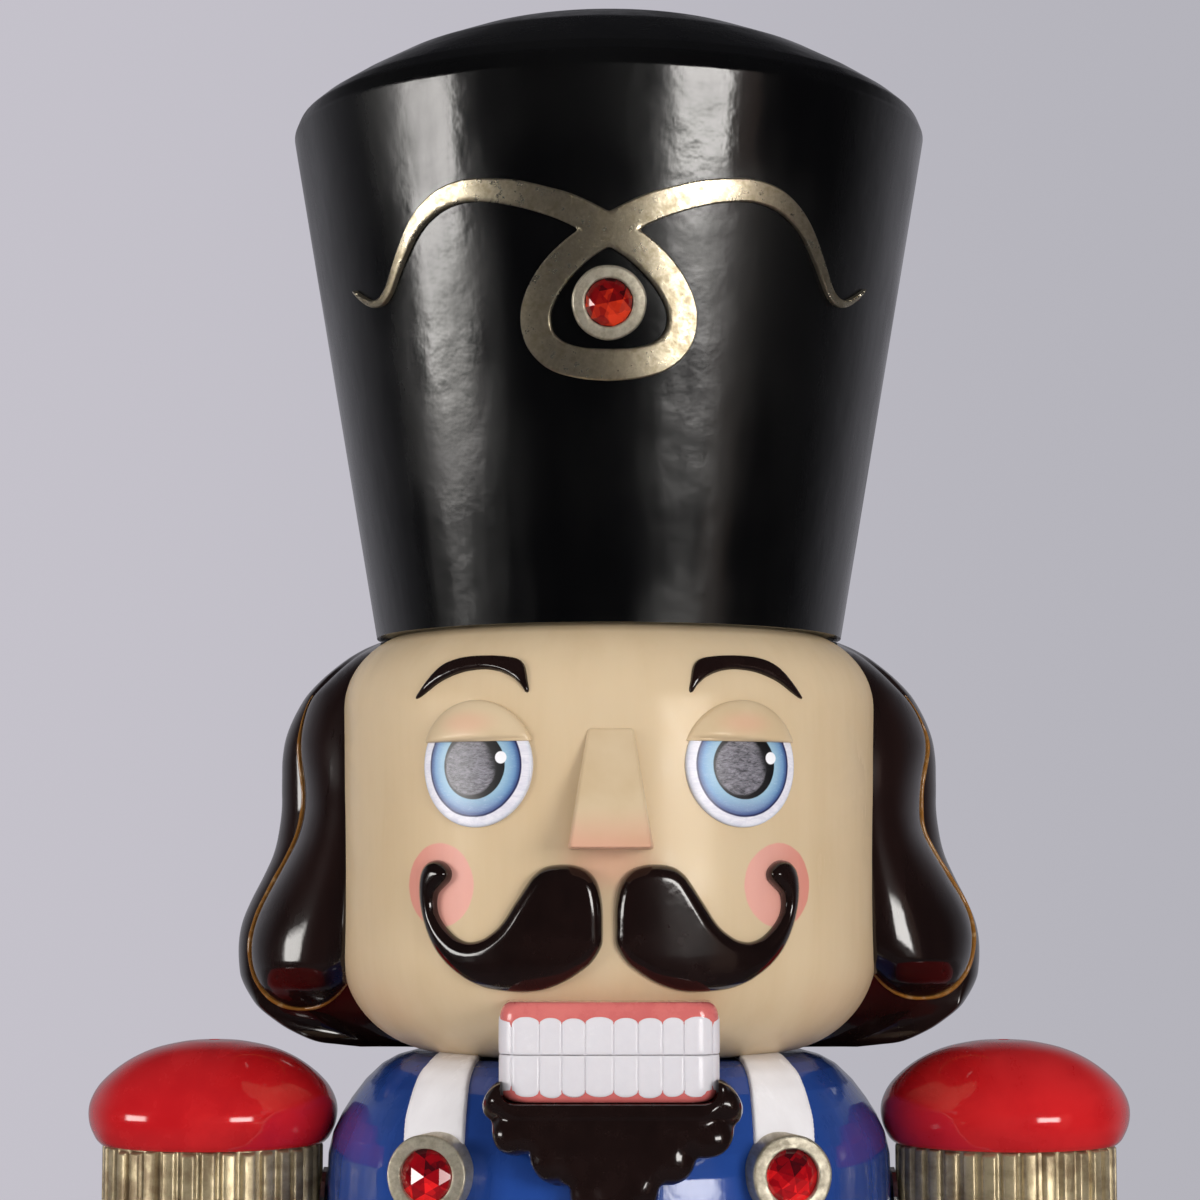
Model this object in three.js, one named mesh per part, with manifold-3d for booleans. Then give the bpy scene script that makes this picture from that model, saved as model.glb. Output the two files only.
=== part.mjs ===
// Display-size nutcracker soldier, about 1.9 m tall, in millimetres, +Z up.
// Origin: centre of the underside of the base. The figure faces -Y; its own right hand is on -X.
// Moulded shells are clamped on two steel tie rods. The lower jaw is a lever on a cross pin, worked
// by the handle behind the back, and each arm turns on a shoulder bolt.
import * as THREE from "three";
import { mergeVertices } from "three/addons/utils/BufferGeometryUtils.js";
import Module from "manifold-3d";

const wasm = await Module();
wasm.setup();

// ---------- driving dimensions ----------
const GAP = 0.3; // clearance between pieces that touch
const BORE_CLEARANCE = 0.5; // radial, round the tie rods and shoulder bolts
const WALL = 6; // moulded shell thickness
const SEG = 36; // facets of the large turned shells
const SIDES = [["right", -1], ["left", 1]]; // name and sign of x

const BASE_X = 460, BASE_Y = 400, BASE_CY = -20, PLINTH_TOP = 80, BASE_TOP = 96;
const LEG_X = 78, LEG_R = 63, BOOT_TOP = 430, LEG_TOP = 699;
const ROD_R = 15, ROD_BOTTOM = 22;
const SKIRT_BOTTOM = 640, WAIST = 868;
const BELT_LOW = 850, BELT_HIGH = 902, BELT_R = 174.5;
const HEAD_R = 159, HEAD_BOTTOM = 1288, HEAD_FLOOR = HEAD_BOTTOM + 12, HEAD_TOP = 1536;
const TORSO_R = 166, TORSO_INNER_R = TORSO_R - WALL, TORSO_TOP = HEAD_BOTTOM - GAP;
const SHELF_TOP = 1070, SHELF_THICKNESS = 10;
const HAT_BOTTOM = 1531.5, HAT_R0 = 139, HAT_RIM = 1834, HAT_R1 = 191, HAT_TOP = 1905;
const TEETH_HALF = 58.5, TEETH_FRONT = -176, TEETH_LOW = 1270.5, BITE_Z = 1296, TEETH_HIGH = 1323;
const JAW_Y = 15, JAW_Z = 1140, PIN_R = 8, LEVER_HALF = 12, LEVER_FRONT = -150;
const ARM_X = 234.5, ARM_Z = 1195, BOLT_R = 12;

// ---------- materials ----------
const paint = (settings) =>
  new THREE.MeshStandardMaterial({ roughness: 0.2, metalness: 0, ...settings });
const BLACK = paint({ color: 0x0c0c0d });
const SKIN = paint({ color: 0xd8c096, roughness: 0.3 });
const BROWN = paint({ color: 0x1d0f0d, roughness: 0.15 });
const BLUE = paint({ color: 0x1d4287 });
const WHITE = paint({ color: 0xe9e7e8, roughness: 0.35 });
const RED = paint({ color: 0xb81f24 });
const GOLD = paint({ color: 0xb9ac86, roughness: 0.4, metalness: 0.9 });
const GEM = paint({ color: 0xb00c10, roughness: 0.05 });
const PINK = paint({ color: 0xe57a74 });
const TOOTH = paint({ color: 0xecebed, roughness: 0.25 });
const EYE = paint({ color: 0x7fa9cc });
const STEEL = paint({ color: 0x9a9da0, roughness: 0.35, metalness: 1 });
const WOOD = paint({ color: 0x9c7547, roughness: 0.7 });

// ---------- solids ----------
// A geometry as a manifold solid, with its shared vertices merged and its faces pointing out.
function solid(geometry, matrix) {
  const loose = geometry.index ? geometry.toNonIndexed() : geometry.clone();
  loose.deleteAttribute("normal");
  loose.deleteAttribute("uv");
  if (matrix) loose.applyMatrix4(matrix);
  const merged = mergeVertices(loose, 1e-3);
  const index = merged.index.array;
  const triangles = [];
  for (let i = 0; i < index.length; i += 3) {
    const [a, b, c] = index.slice(i, i + 3);
    if (a !== b && b !== c && a !== c) triangles.push(a, b, c);
  }
  const make = () => new wasm.Manifold(new wasm.Mesh({
    numProp: 3,
    vertProperties: merged.attributes.position.array,
    triVerts: new Uint32Array(triangles),
  }));
  const result = make();
  if (result.volume() >= 0) return result;
  for (let i = 0; i < triangles.length; i += 3) {
    [triangles[i + 1], triangles[i + 2]] = [triangles[i + 2], triangles[i + 1]];
  }
  return make();
}

function geometryOf(shape) {
  const { numProp, numVert, vertProperties, triVerts } = shape.getMesh();
  const xyz = new Float32Array(numVert * 3);
  for (let i = 0; i < numVert; i++) {
    xyz.set(vertProperties.subarray(i * numProp, i * numProp + 3), i * 3);
  }
  const geometry = new THREE.BufferGeometry()
    .setAttribute("position", new THREE.BufferAttribute(xyz, 3))
    .setIndex(new THREE.BufferAttribute(new Uint32Array(triVerts), 1));
  geometry.computeVertexNormals();
  return geometry;
}

function part(name, shape, material, parent) {
  const mesh = new THREE.Mesh(geometryOf(shape), material);
  mesh.name = name;
  parent.add(mesh);
}

const move = (x, y, z) => new THREE.Matrix4().makeTranslation(x, y, z);
const turnX = (angle) => new THREE.Matrix4().makeRotationX(angle);
const turnZ = (angle) => new THREE.Matrix4().makeRotationZ(angle);
const UP = turnX(Math.PI / 2); // Y to +Z, Z to -Y
const FORWARD = turnX(Math.PI); // Y to -Y
const YZ_TO_X = new THREE.Matrix4().makeBasis( // drawn in Y and Z, depth along X
  new THREE.Vector3(0, 1, 0), new THREE.Vector3(0, 0, 1), new THREE.Vector3(1, 0, 0));
const vectors = (points) => points.map(([u, v]) => new THREE.Vector2(u, v));

// [r, height] points turned about Y; they start and end on the axis, or close on themselves.
const lathe = (profile, seg) => new THREE.LatheGeometry(vectors(profile), seg);
const closed = (profile) => [...profile, profile[0]];
// A solid turned about the vertical line through x, from [r, z] points.
const turned = (profile, seg = SEG, x = 0) =>
  solid(lathe(profile, seg), move(x, 0, 0).multiply(UP));
const turnedRing = (profile, seg, x) => turned(closed(profile), seg, x);
const disc = (r, z0, z1) => turned([[0, z0], [r, z0], [r, z1], [0, z1]]);

function extruded(outline, depth, holes = []) {
  const shape = new THREE.Shape(vectors(outline));
  for (const hole of holes) shape.holes.push(new THREE.Path(vectors(hole)));
  return new THREE.ExtrudeGeometry(shape, { depth, bevelEnabled: false });
}
// Outlines across an axis, extruded along it: slabX takes [y, z], slabY [x, z], slabZ [x, y].
const slabX = (outline, x0, x1) =>
  solid(extruded(outline, x1 - x0), move(x0, 0, 0).multiply(YZ_TO_X));
const slabY = (outline, y0, y1, holes) =>
  solid(extruded(outline, y1 - y0, holes), move(0, y1, 0).multiply(UP));
const slabZ = (outline, z0, z1) => solid(extruded(outline, z1 - z0), move(0, 0, z0));

const box = (x0, x1, y0, y1, z0, z1) => solid(
  new THREE.BoxGeometry(x1 - x0, y1 - y0, z1 - z0),
  move((x0 + x1) / 2, (y0 + y1) / 2, (z0 + z1) / 2));
const rodZ = (r, x, z0, z1, seg) => solid(
  new THREE.CylinderGeometry(r, r, z1 - z0, seg),
  move(x, 0, (z0 + z1) / 2).multiply(UP));
// x0 and x1 may come in either order.
const rodX = (r, x0, x1, y, z, seg = 16) => solid(
  new THREE.CylinderGeometry(r, r, Math.abs(x1 - x0), seg),
  move((x0 + x1) / 2, y, z).multiply(turnZ(Math.PI / 2)));

// ---------- outlines ----------
// Elliptical arc about (cx, cy) with half axes a and b, from one angle to the other in degrees.
const arc = (cx, cy, a, b, from, to, steps) =>
  Array.from({ length: steps + 1 }, (_, i) => {
    const angle = THREE.MathUtils.degToRad(from + ((to - from) * i) / steps);
    return [cx + a * Math.cos(angle), cy + b * Math.sin(angle)];
  });
const roundedRect = (halfX, halfY, cx, cy, r, steps = 4) =>
  [[1, 1, 0], [-1, 1, 90], [-1, -1, 180], [1, -1, 270]].flatMap(([sx, sy, from]) =>
    arc(cx + sx * (halfX - r), cy + sy * (halfY - r), r, r, from, from + 90, steps));
// An outline drawn on the right side (-X), mirrored when the sign asks for the left.
const onSide = (sign, outline) =>
  sign < 0 ? outline : outline.map(([x, z]) => [-x, z]).reverse();

// ---------- head, torso and hat forms ----------
// Each can be grown outwards. Profile columns: r, z, share of the growth in r and in z.
const grown = (profile, growth) =>
  turned(profile.map(([r, z, out = 0, up = 0]) => [r + out * growth, z + up * growth]));
const TORSO_PROFILE = [
  [0, WAIST + GAP], [TORSO_R, WAIST + GAP, 1], [TORSO_R, 1205, 1], [TORSO_R - 0.5, 1229, 1],
  [162.7, 1241, 1], [158, 1251, 1], [152, 1260.5, 1], [144, 1271, 1], [134.5, 1280.5, 1, 0.5],
  [126, 1285.5, 1, 0.8], [118, TORSO_TOP, 0, 1], [0, TORSO_TOP, 0, 1],
];
const HAT_PROFILE = [
  [0, HAT_BOTTOM, 0, -1], [HAT_R0, HAT_BOTTOM, 1, -1], [HAT_R1 - 1.5, HAT_RIM - 9, 1],
  [HAT_R1, HAT_RIM, 1], [HAT_R1 - 3.5, HAT_RIM + 8, 1], [178, 1850, 1, 1], [160, 1862, 0, 1],
  [135, 1876, 0, 1], [100, 1890.5, 0, 1], [60, 1900.5, 0, 1], [0, HAT_TOP, 0, 1],
];
const torsoForm = (growth = 0) => grown(TORSO_PROFILE, growth);
const hatForm = (growth = 0) => grown(HAT_PROFILE, growth);

// Half axes of the rounding at the foot and crown of the head
const CHIN_ROUND = { r: 61, z: 60 };
const CROWN_ROUND = { r: 52, z: 48 };
function headForm(growth = 0) {
  const rounding = ({ r, z }, centreZ, from, to, steps) =>
    arc(HEAD_R - r, centreZ, r + growth, z + growth, from, to, steps);
  return turned([
    [0, HEAD_BOTTOM - growth],
    ...rounding(CHIN_ROUND, HEAD_BOTTOM + CHIN_ROUND.z, -90, 0, 5),
    ...rounding(CROWN_ROUND, HEAD_TOP - CROWN_ROUND.z, 0, 90, 4),
    [0, HEAD_TOP + growth],
  ]);
}
// The front part of the layer between two forms that lies behind an [x, z] outline.
const onShell = (outline, outer, inner) => slabY(outline, -230, -5).intersect(outer).subtract(inner);

const figure = new THREE.Group();
const body = new THREE.Group();
const jaw = new THREE.Group();
figure.add(body, jaw);

const rodHoles = SIDES.map(([, sign]) =>
  rodZ(ROD_R + BORE_CLEARANCE, sign * LEG_X, 20, 1400, 12));
const drilled = (shape) => shape.subtract(rodHoles[0]).subtract(rodHoles[1]);

// ---------- base ----------
const CAP_INSET = 18;
const plinth = roundedRect(BASE_X / 2, BASE_Y / 2, 0, BASE_CY, 40);
const cap = roundedRect(BASE_X / 2 - CAP_INSET, BASE_Y / 2 - CAP_INSET, 0, BASE_CY, 30);
part("base_plinth", drilled(slabZ(plinth, 0, PLINTH_TOP)), BLACK, body);
part("base_cap", drilled(slabZ(cap, PLINTH_TOP + GAP, BASE_TOP)), GOLD, body);

// ---------- boots, legs and tie rods ----------
const LEG_SEG = 20;
const BOOT_BOTTOM = BASE_TOP + 1;
const SHAFT_PROFILE = [
  [0, BOOT_BOTTOM], [56, BOOT_BOTTOM], [58, 130], [55, 170], [57, 230], [62, 330],
  [67, BOOT_TOP - 20], [68.5, BOOT_TOP], [0, BOOT_TOP],
];
// [x, y] about the leg's axis: round toe, straight sides, round heel
const FOOT_OUTLINE = [
  ...arc(0, -96, 49, 56, 180, 360, 12), [54, -30], [56, 10],
  ...arc(0, 18, 52, 42, 0, 180, 8).slice(1, -1), [-56, 10], [-54, -30],
];
// [y, z] side view that the foot is cut to
const INSTEP = [
  [-170, 60], [70, 60], [70, 230], [-38, 230], [-62, 176], [-100, 158], [-132, 140],
  [-149, 122], [-158, BOOT_BOTTOM],
];

// Tapered shaft, a rounded foot that points forwards, and a slightly wider sole
function boot(x) {
  const shaft = turned(SHAFT_PROFILE, LEG_SEG, x);
  const foot = slabZ(FOOT_OUTLINE.map(([fx, fy]) => [fx + x, fy]), BOOT_BOTTOM, 175)
    .intersect(slabX(INSTEP, x - 70, x + 70));
  const soleOutline = FOOT_OUTLINE.map(([fx, fy]) => [fx * 1.05 + x, fy * 1.03 - 1]);
  return drilled(shaft.add(foot).add(slabZ(soleOutline, BASE_TOP + GAP, 108)));
}
// A tube that stands on the boot and carries the pelvis board
const trouserLeg = (x) => turnedRing([
  [LEG_R - WALL, BOOT_TOP + GAP], [LEG_R, BOOT_TOP + GAP], [LEG_R + 1, 560],
  [LEG_R + 2, LEG_TOP], [LEG_R + 2 - WALL, LEG_TOP],
], LEG_SEG, x);
// Foot in the base, flange inside the head
const tieRod = (x) => turned([
  [0, ROD_BOTTOM], [ROD_R, ROD_BOTTOM], [ROD_R, HEAD_FLOOR + GAP], [25, HEAD_FLOOR + GAP],
  [25, 1312], [0, 1312],
], 12, x);

for (const [side, sign] of SIDES) {
  const x = sign * LEG_X;
  part("boot_" + side, boot(x), BLACK, body);
  part("trouser_leg_" + side, trouserLeg(x), WHITE, body);
  part("tie_rod_" + side, tieRod(x), STEEL, body);
}
const PELVIS_PROFILE = [[0, LEG_TOP + GAP], [182.6, LEG_TOP + GAP], [180.9, 712], [0, 712]];
part("pelvis_board", drilled(turned(PELVIS_PROFILE)), WOOD, body);

// ---------- coat ----------
part("coat_skirt", turnedRing([
  [191, SKIRT_BOTTOM], [199, SKIRT_BOTTOM], [188, 715], [176, 800], [168.5, 850], [167, WAIST],
  [160.5, WAIST], [162, 845], [170, 795], [180, 722],
]), BLUE, body);
part("skirt_hem_band", turnedRing([[199.6, 641], [204, 641], [201.3, 663], [196.8, 663]]),
  GOLD, body);

// A shell with slots front and back for the jaw lever, and a hole for each shoulder bolt
function torsoShell() {
  const slotHalf = LEVER_HALF + 1.5;
  const inner = turned([
    [0, 800], [TORSO_INNER_R, 800], [TORSO_INNER_R, 1226], [153, 1250], [139, 1269],
    [120, 1280.5], [0, 1281.5],
  ]);
  return drilled(torsoForm().subtract(inner)
    .subtract(box(-slotHalf, slotHalf, -260, -95, 1201, 1400))
    .subtract(box(-slotHalf, slotHalf, 120, 260, 1098, 1182))
    .subtract(rodX(BOLT_R + BORE_CLEARANCE, -260, 260, 0, ARM_Z)));
}
part("torso_shell", torsoShell(), BLUE, body);
part("torso_shelf", drilled(disc(TORSO_INNER_R - 0.4, SHELF_TOP - SHELF_THICKNESS, SHELF_TOP)),
  WOOD, body);

const BELT_INNER_R = TORSO_R + 2.6;
part("belt", turnedRing([
  [BELT_INNER_R, BELT_LOW], [BELT_R, BELT_LOW + 1], [BELT_R, BELT_HIGH - 1],
  [BELT_INNER_R, BELT_HIGH],
]), WHITE, body);

function beltBuckle() {
  const middle = (BELT_LOW + BELT_HIGH) / 2;
  const opening = roundedRect(26, 20, 0, middle, 4, 2);
  return slabY(roundedRect(38, 32, 0, middle, 8, 2), -183, -100, [opening])
    .subtract(disc(BELT_R + GAP, 700, 1000));
}
part("belt_buckle", beltBuckle(), GOLD, body);

// Hexagonal head inside the torso wall, washer between torso and arm, nut inside the arm
function shoulderBolt(sign) {
  const length = (r, near, far, seg) => rodX(r, sign * near, sign * far, 0, ARM_Z, seg);
  return length(BOLT_R, 150, 205)
    .add(length(20, 146, 157, 6))
    .add(length(24, 166.4, 168.8))
    .add(length(18, 192, 205, 6));
}
for (const [side, sign] of SIDES) part("shoulder_bolt_" + side, shoulderBolt(sign), STEEL, body);

// ---------- straps, rosettes and buttons ----------
const STRAP_THICKNESS = 2.6; // out from the torso surface
const ROSETTE_Z = 1230;
const ROSETTE_ANGLE = Math.atan2(97, 133); // from straight ahead, along the chest's normal
// Right strap, [x, z], from the neck to the belt and back
const STRAP = [
  [-101.5, 1300], [-102.5, 1284], [-107.5, 1252], [-112, 1230], [-112, 1190],
  [-104, BELT_HIGH + GAP], [-74, BELT_HIGH + GAP], [-80, 1190], [-81, 1230], [-77.5, 1252],
  [-72, 1284], [-70, 1300],
];
// [r, distance out from the torso axis]
const BEZEL_PROFILE = closed([[15.6, 158], [23.5, 158], [22.5, 181], [15.6, 181]]);
const GEM_R = 15.2;
const GEM_PROFILE = [[0, 166], [GEM_R, 166], [GEM_R, 169], [GEM_R * 0.55, 181.5], [0, 181.5]];
const BUTTON_PROFILE = [[0, 160], [15, 160], [15, 170], [11, 175], [0, 177]];

const coatClear = torsoForm(GAP);
const strapOuter = torsoForm(STRAP_THICKNESS);
const strapClear = torsoForm(STRAP_THICKNESS + GAP);
const neckClear = headForm(GAP + 0.2);
const onChest = (profile, seg, z, angle = 0) =>
  solid(lathe(profile, seg), move(0, 0, z).multiply(turnZ(angle)).multiply(FORWARD));

for (const [side, sign] of SIDES) {
  const rosette = (profile, seg) =>
    onChest(profile, seg, ROSETTE_Z, sign * ROSETTE_ANGLE).subtract(strapClear);
  const strap = onShell(onSide(sign, STRAP), strapOuter, coatClear).subtract(neckClear);
  part("strap_" + side, strap, WHITE, body);
  part("strap_bezel_" + side, rosette(BEZEL_PROFILE, 20), GOLD, body);
  part("strap_gem_" + side, rosette(GEM_PROFILE, 10), GEM, body);
}
[1098, 1000].forEach((z, i) => {
  const button = onChest(BUTTON_PROFILE, 20, z).subtract(coatClear);
  part("coat_button_" + (i + 1), button, GOLD, body);
});

// ---------- head ----------
// Hollow, with a round opening in the crown
const CROWN_HOLE_R = 60;
const headHollow = turned([
  [0, HEAD_FLOOR], [110, HEAD_FLOOR], [152, HEAD_BOTTOM + 62], [152.5, 1487],
  [104, HEAD_TOP - 7], [CROWN_HOLE_R, HEAD_TOP - 7], [CROWN_HOLE_R, HEAD_TOP + 20],
  [0, HEAD_TOP + 20],
]);
part("head_shell", drilled(headForm().subtract(headHollow)), SKIN, body);
const faceClear = headForm(GAP);

// A wedge that is wider and stands out further at its lower end
const noseSide = slabX([[-100, 1474], [-160, 1473], [-189.5, 1406], [-100, 1404]], -40, 40);
const noseFront = slabY([[-11.5, 1474], [-24.5, 1403], [24.5, 1403], [11.5, 1474]], -200, -100);
part("nose", noseSide.intersect(noseFront).subtract(faceClear), SKIN, body);

const EYE_X = 71, EYE_Z = 1451.5, EYE_HALF_X = 28.6, EYE_HALF_Z = 33.6;
const LID_Z = 1466, LID_HALF_Z = 22;
// How far each feature stands out from the head
const RELIEF = { eye: 2, eyebrow: 4, eyelid: 9, moustache: 13 };
// Right halves, [x, z]
const MOUSTACHE = [
  [-96, 1400], [-90.3, 1398.3], [-86.9, 1392], [-91.4, 1384.6], [-94.5, 1376], [-89.5, 1363],
  [-83.3, 1357.3], [-75, 1355.2], [-64.8, 1359.7], [-56.5, 1368.5], [-45.5, 1385.9],
  [-38, 1395], [-27.5, 1397.6], [-15, 1396.2], [-7, 1389.5], [-3.4, 1374], [-3.6, 1355.2],
  [-10, 1343.9], [-26, 1333], [-45, 1328.5], [-62, 1329.2], [-77, 1334], [-90, 1343.5],
  [-99.4, 1357.5], [-104.3, 1374], [-104, 1391], [-100.8, 1398],
];
const EYEBROW = [
  [-108.4, 1490.1], [-101.9, 1498.5], [-93.2, 1507], [-82.3, 1511.5], [-65.3, 1512.3],
  [-50.2, 1510.2], [-45.5, 1503.8], [-43.8, 1492], [-51.3, 1498.4], [-60.8, 1503.6],
  [-73.7, 1504.8], [-88, 1501.5], [-100.7, 1493.9],
];
const onFace = (outline, relief) => onShell(outline, headForm(relief), faceClear);
const underLid = box(-200, 200, -230, 0, LID_Z - GAP, 1600);

for (const [side, sign] of SIDES) {
  const x = sign * EYE_X;
  const eye = arc(x, EYE_Z, EYE_HALF_X, EYE_HALF_Z, 0, 360, 24).slice(0, -1);
  const lid = arc(x, LID_Z, EYE_HALF_X + 1, LID_HALF_Z, 0, 180, 12);
  part("eye_" + side, onFace(eye, RELIEF.eye).subtract(underLid), EYE, body);
  part("eyelid_" + side, onFace(lid, RELIEF.eyelid), SKIN, body);
  part("eyebrow_" + side, onFace(onSide(sign, EYEBROW), RELIEF.eyebrow), BROWN, body);
  part("moustache_" + side, onFace(onSide(sign, MOUSTACHE), RELIEF.moustache), BROWN, body);
}

// A dental block with rounded front corners; the head carries the upper one, the jaw the lower
function dentalBar(z0, z1, back) {
  const r = 13, half = TEETH_HALF, cy = TEETH_FRONT + r;
  return slabZ([
    [-half, back], ...arc(-half + r, cy, r, r, 180, 270, 4),
    ...arc(half - r, cy, r, r, 270, 360, 4), [half, back],
  ], z0, z1);
}
const UPPER_TEETH_TOP = 1315.8;
const upperBar = (z0, z1) => dentalBar(z0, z1, -100).subtract(faceClear);
part("upper_teeth", upperBar(BITE_Z + GAP / 2, UPPER_TEETH_TOP), TOOTH, body);
part("upper_gum", upperBar(UPPER_TEETH_TOP + GAP, TEETH_HIGH), PINK, body);

// ---------- hair ----------
// Levels of the bob: [z, outer radius]
const HAIR_LEVELS = [
  [1289, 160], [1294, 181], [1304, 198], [1319, 212.5], [1340, 220], [1362, 218], [1386, 208],
  [1410, 197.5], [1445, 193.3], [1476, 190.5], [1495, 181.5], [1512, 168.5], [1529, 145.5],
];
const HAIR_STEPS = 16;
const HAIR_FROM = 84, HAIR_TO = 276; // degrees from straight ahead, round the back
const HAIR_INNER_R = 100, HAIR_ROOT_R = HEAD_R + GAP + 0.4 - 12;

// One level: out along the surface, thinning towards both cheeks, and back along the inside
function hairRing(z, outerR) {
  const point = (i, r) => {
    const angle = THREE.MathUtils.degToRad(HAIR_FROM + ((HAIR_TO - HAIR_FROM) * i) / HAIR_STEPS);
    return [r * Math.sin(angle), -r * Math.cos(angle), z];
  };
  const ring = [];
  for (let i = 0; i <= HAIR_STEPS; i++) {
    const t = i / HAIR_STEPS;
    const fromCheek = Math.min(t, 1 - t) * 2;
    const swell = 0.62 + 0.38 * Math.sqrt(Math.min(1, fromCheek * 6));
    ring.push(point(i, HAIR_ROOT_R + (outerR - HAIR_ROOT_R) * swell));
  }
  for (let i = HAIR_STEPS; i >= 0; i--) ring.push(point(i, HAIR_INNER_R));
  return ring;
}

// A rolled bob round the back, from cheek to cheek: stacked rings skinned and capped
function hair() {
  const rings = HAIR_LEVELS.map(([z, r]) => hairRing(z, r));
  const count = rings[0].length, last = (rings.length - 1) * count;
  const triangles = [];
  for (let start = 0; start < last; start += count) {
    for (let i = 0; i < count; i++) {
      const a = start + i, b = start + ((i + 1) % count);
      triangles.push(a, b, b + count, a, b + count, a + count);
    }
  }
  const capOf = (ring) => THREE.ShapeUtils.triangulateShape(vectors(ring), []);
  for (const [a, b, c] of capOf(rings[0])) triangles.push(a, c, b);
  for (const [a, b, c] of capOf(rings.at(-1))) triangles.push(last + a, last + b, last + c);
  const geometry = new THREE.BufferGeometry()
    .setAttribute("position", new THREE.BufferAttribute(new Float32Array(rings.flat(2)), 3))
    .setIndex(triangles);
  return solid(geometry)
    .subtract(headForm(0.5)).subtract(hatForm(0.5)).subtract(torsoForm(0.5));
}
part("hair", hair(), BROWN, body);

// ---------- hat ----------
const hatHollow = turned([
  [0, HAT_BOTTOM - 20], [132.5, HAT_BOTTOM - 20], [132.5, HAT_BOTTOM + 5], [183, HAT_RIM - 4],
  [172, 1845], [100, 1882], [0, 1896],
]);
const BOARD_HOLE_R = CROWN_HOLE_R + 0.5;
part("hat_shell", hatForm().subtract(hatHollow), BLACK, body);
part("hat_board", turnedRing([
  [BOARD_HOLE_R, HEAD_TOP + GAP], [130, HEAD_TOP + GAP], [131.5, HEAD_TOP + 12],
  [BOARD_HOLE_R, HEAD_TOP + 12],
], 32), WOOD, body);

// Scroll: two mirrored ribbons that cross above the jewel and join below it; [x, z, half width]
const RIBBON = [
  [-147, 1727.9, 0.8], [-140.6, 1721.1, 2], [-133.6, 1716.1, 2.6], [-127.9, 1716.6, 2.8],
  [-119.7, 1730.8, 3.1], [-109.4, 1751.9, 4.3], [-92.3, 1766.2, 5.8], [-65.1, 1767.9, 6.6],
  [-37.3, 1761.4, 7.3], [0, 1744.5, 8.1], [15.4, 1735, 8.1], [36.3, 1711.4, 8.4],
  [40.2, 1699.1, 8.4], [38, 1686.6, 8.4], [29.2, 1677.1, 8.4], [15.4, 1672.5, 8.4],
  [-2, 1671.3, 8.4],
];
function ribbon(sign) {
  const edge = (offset) => RIBBON.map(([x, z, halfWidth], i) => {
    const before = RIBBON[Math.max(0, i - 1)];
    const after = RIBBON[Math.min(RIBBON.length - 1, i + 1)];
    const dx = after[0] - before[0], dz = after[1] - before[1];
    const scale = (offset * halfWidth) / Math.hypot(dx, dz);
    return [sign * (x - dz * scale), z + dx * scale];
  });
  const loop = [...edge(1), ...edge(-1).reverse()];
  return slabY(sign > 0 ? loop : loop.reverse(), -260, -60);
}
const hatClear = hatForm(GAP);
const emblem = ribbon(1).add(ribbon(-1)).intersect(hatForm(2.4)).subtract(hatClear);
part("hat_emblem", emblem, GOLD, body);

// The jewel faces forwards, tipped up by JEWEL_TIP radians
const JEWEL_TIP = 0.17;
const jewelPlace = move(0, -168.4, 1705).multiply(turnX(Math.PI - JEWEL_TIP));
const onHat = (profile, seg) => solid(lathe(profile, seg), jewelPlace).subtract(hatClear);
part("hat_bezel", onHat(closed([[13.4, -2], [20.3, -2], [19.6, 7], [13.4, 6]]), 20), GOLD, body);
part("hat_gem", onHat([[0, 1], [13, 1], [13, 3], [7.5, 7.5], [0, 7.5]], 10), GEM, body);

// ---------- jaw ----------
// Teeth and beard hang on the front of a lever; the handle behind the back lifts to open the mouth.
const LOWER_GUM_TOP = 1275.3;
const lowerBar = (z0, z1) => dentalBar(z0, z1, LEVER_FRONT - GAP);
part("lower_teeth", lowerBar(LOWER_GUM_TOP + GAP, BITE_Z - GAP / 2), TOOTH, jaw);
part("lower_gum", lowerBar(TEETH_LOW, LOWER_GUM_TOP), PINK, jaw);

// Right half, [x, z], from the tip up
const BEARD = [
  [0, 1190], [-8, 1192], [-15, 1200], [-17, 1209], [-24, 1212.5], [-25, 1222], [-32, 1228],
  [-40.5, 1235], [-43, 1245.5], [-51, 1243], [-58, 1246], [-63, 1252], [-63, 1261],
  [-67, 1266], [-69, 1274], [-66, 1280], [-60.5, 1281.5],
];
function beard() {
  const outline = [...BEARD.toReversed(), ...BEARD.slice(1).map(([x, z]) => [-x, z])];
  const half = TEETH_HALF + 0.5;
  const teethClear = box(-half, half, -190, LEVER_FRONT, TEETH_LOW - GAP, 1400);
  const front = turned([
    [0, 1150], [188, 1150], [190, 1215], [189, 1245], [180, 1272], [176, 1300], [0, 1300],
  ]);
  return slabY(outline, -195, -153).intersect(front).subtract(torsoForm(3)).subtract(teethClear);
}
part("beard", beard(), BROWN, jaw);

const acrossJaw = (r, x0, x1) => rodX(r, x0, x1, JAW_Y, JAW_Z);
// [y, z] side views
const LEVER = [
  [LEVER_FRONT, 1262], [LEVER_FRONT, 1292], [-120, 1278], [-40, 1202], [20, 1166], [60, 1140],
  [171.8, 1131], [171.8, 1105], [60, 1110], [15, 1112], [-8, 1120],
];
const HANDLE = [
  [172.2, 1131], [188, 1128], [192, 1100], [193, 1040], [199, 980], [214, 948], [205, 938],
  [190, 946], [178, 985], [173.5, 1040], [172.2, 1090],
];
const lever = slabX(LEVER, -LEVER_HALF, LEVER_HALF).subtract(acrossJaw(PIN_R + 0.4, -60, 60));
part("jaw_lever", lever, STEEL, jaw);
part("jaw_handle", slabX(HANDLE, -24, 24), BLUE, jaw);

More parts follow.
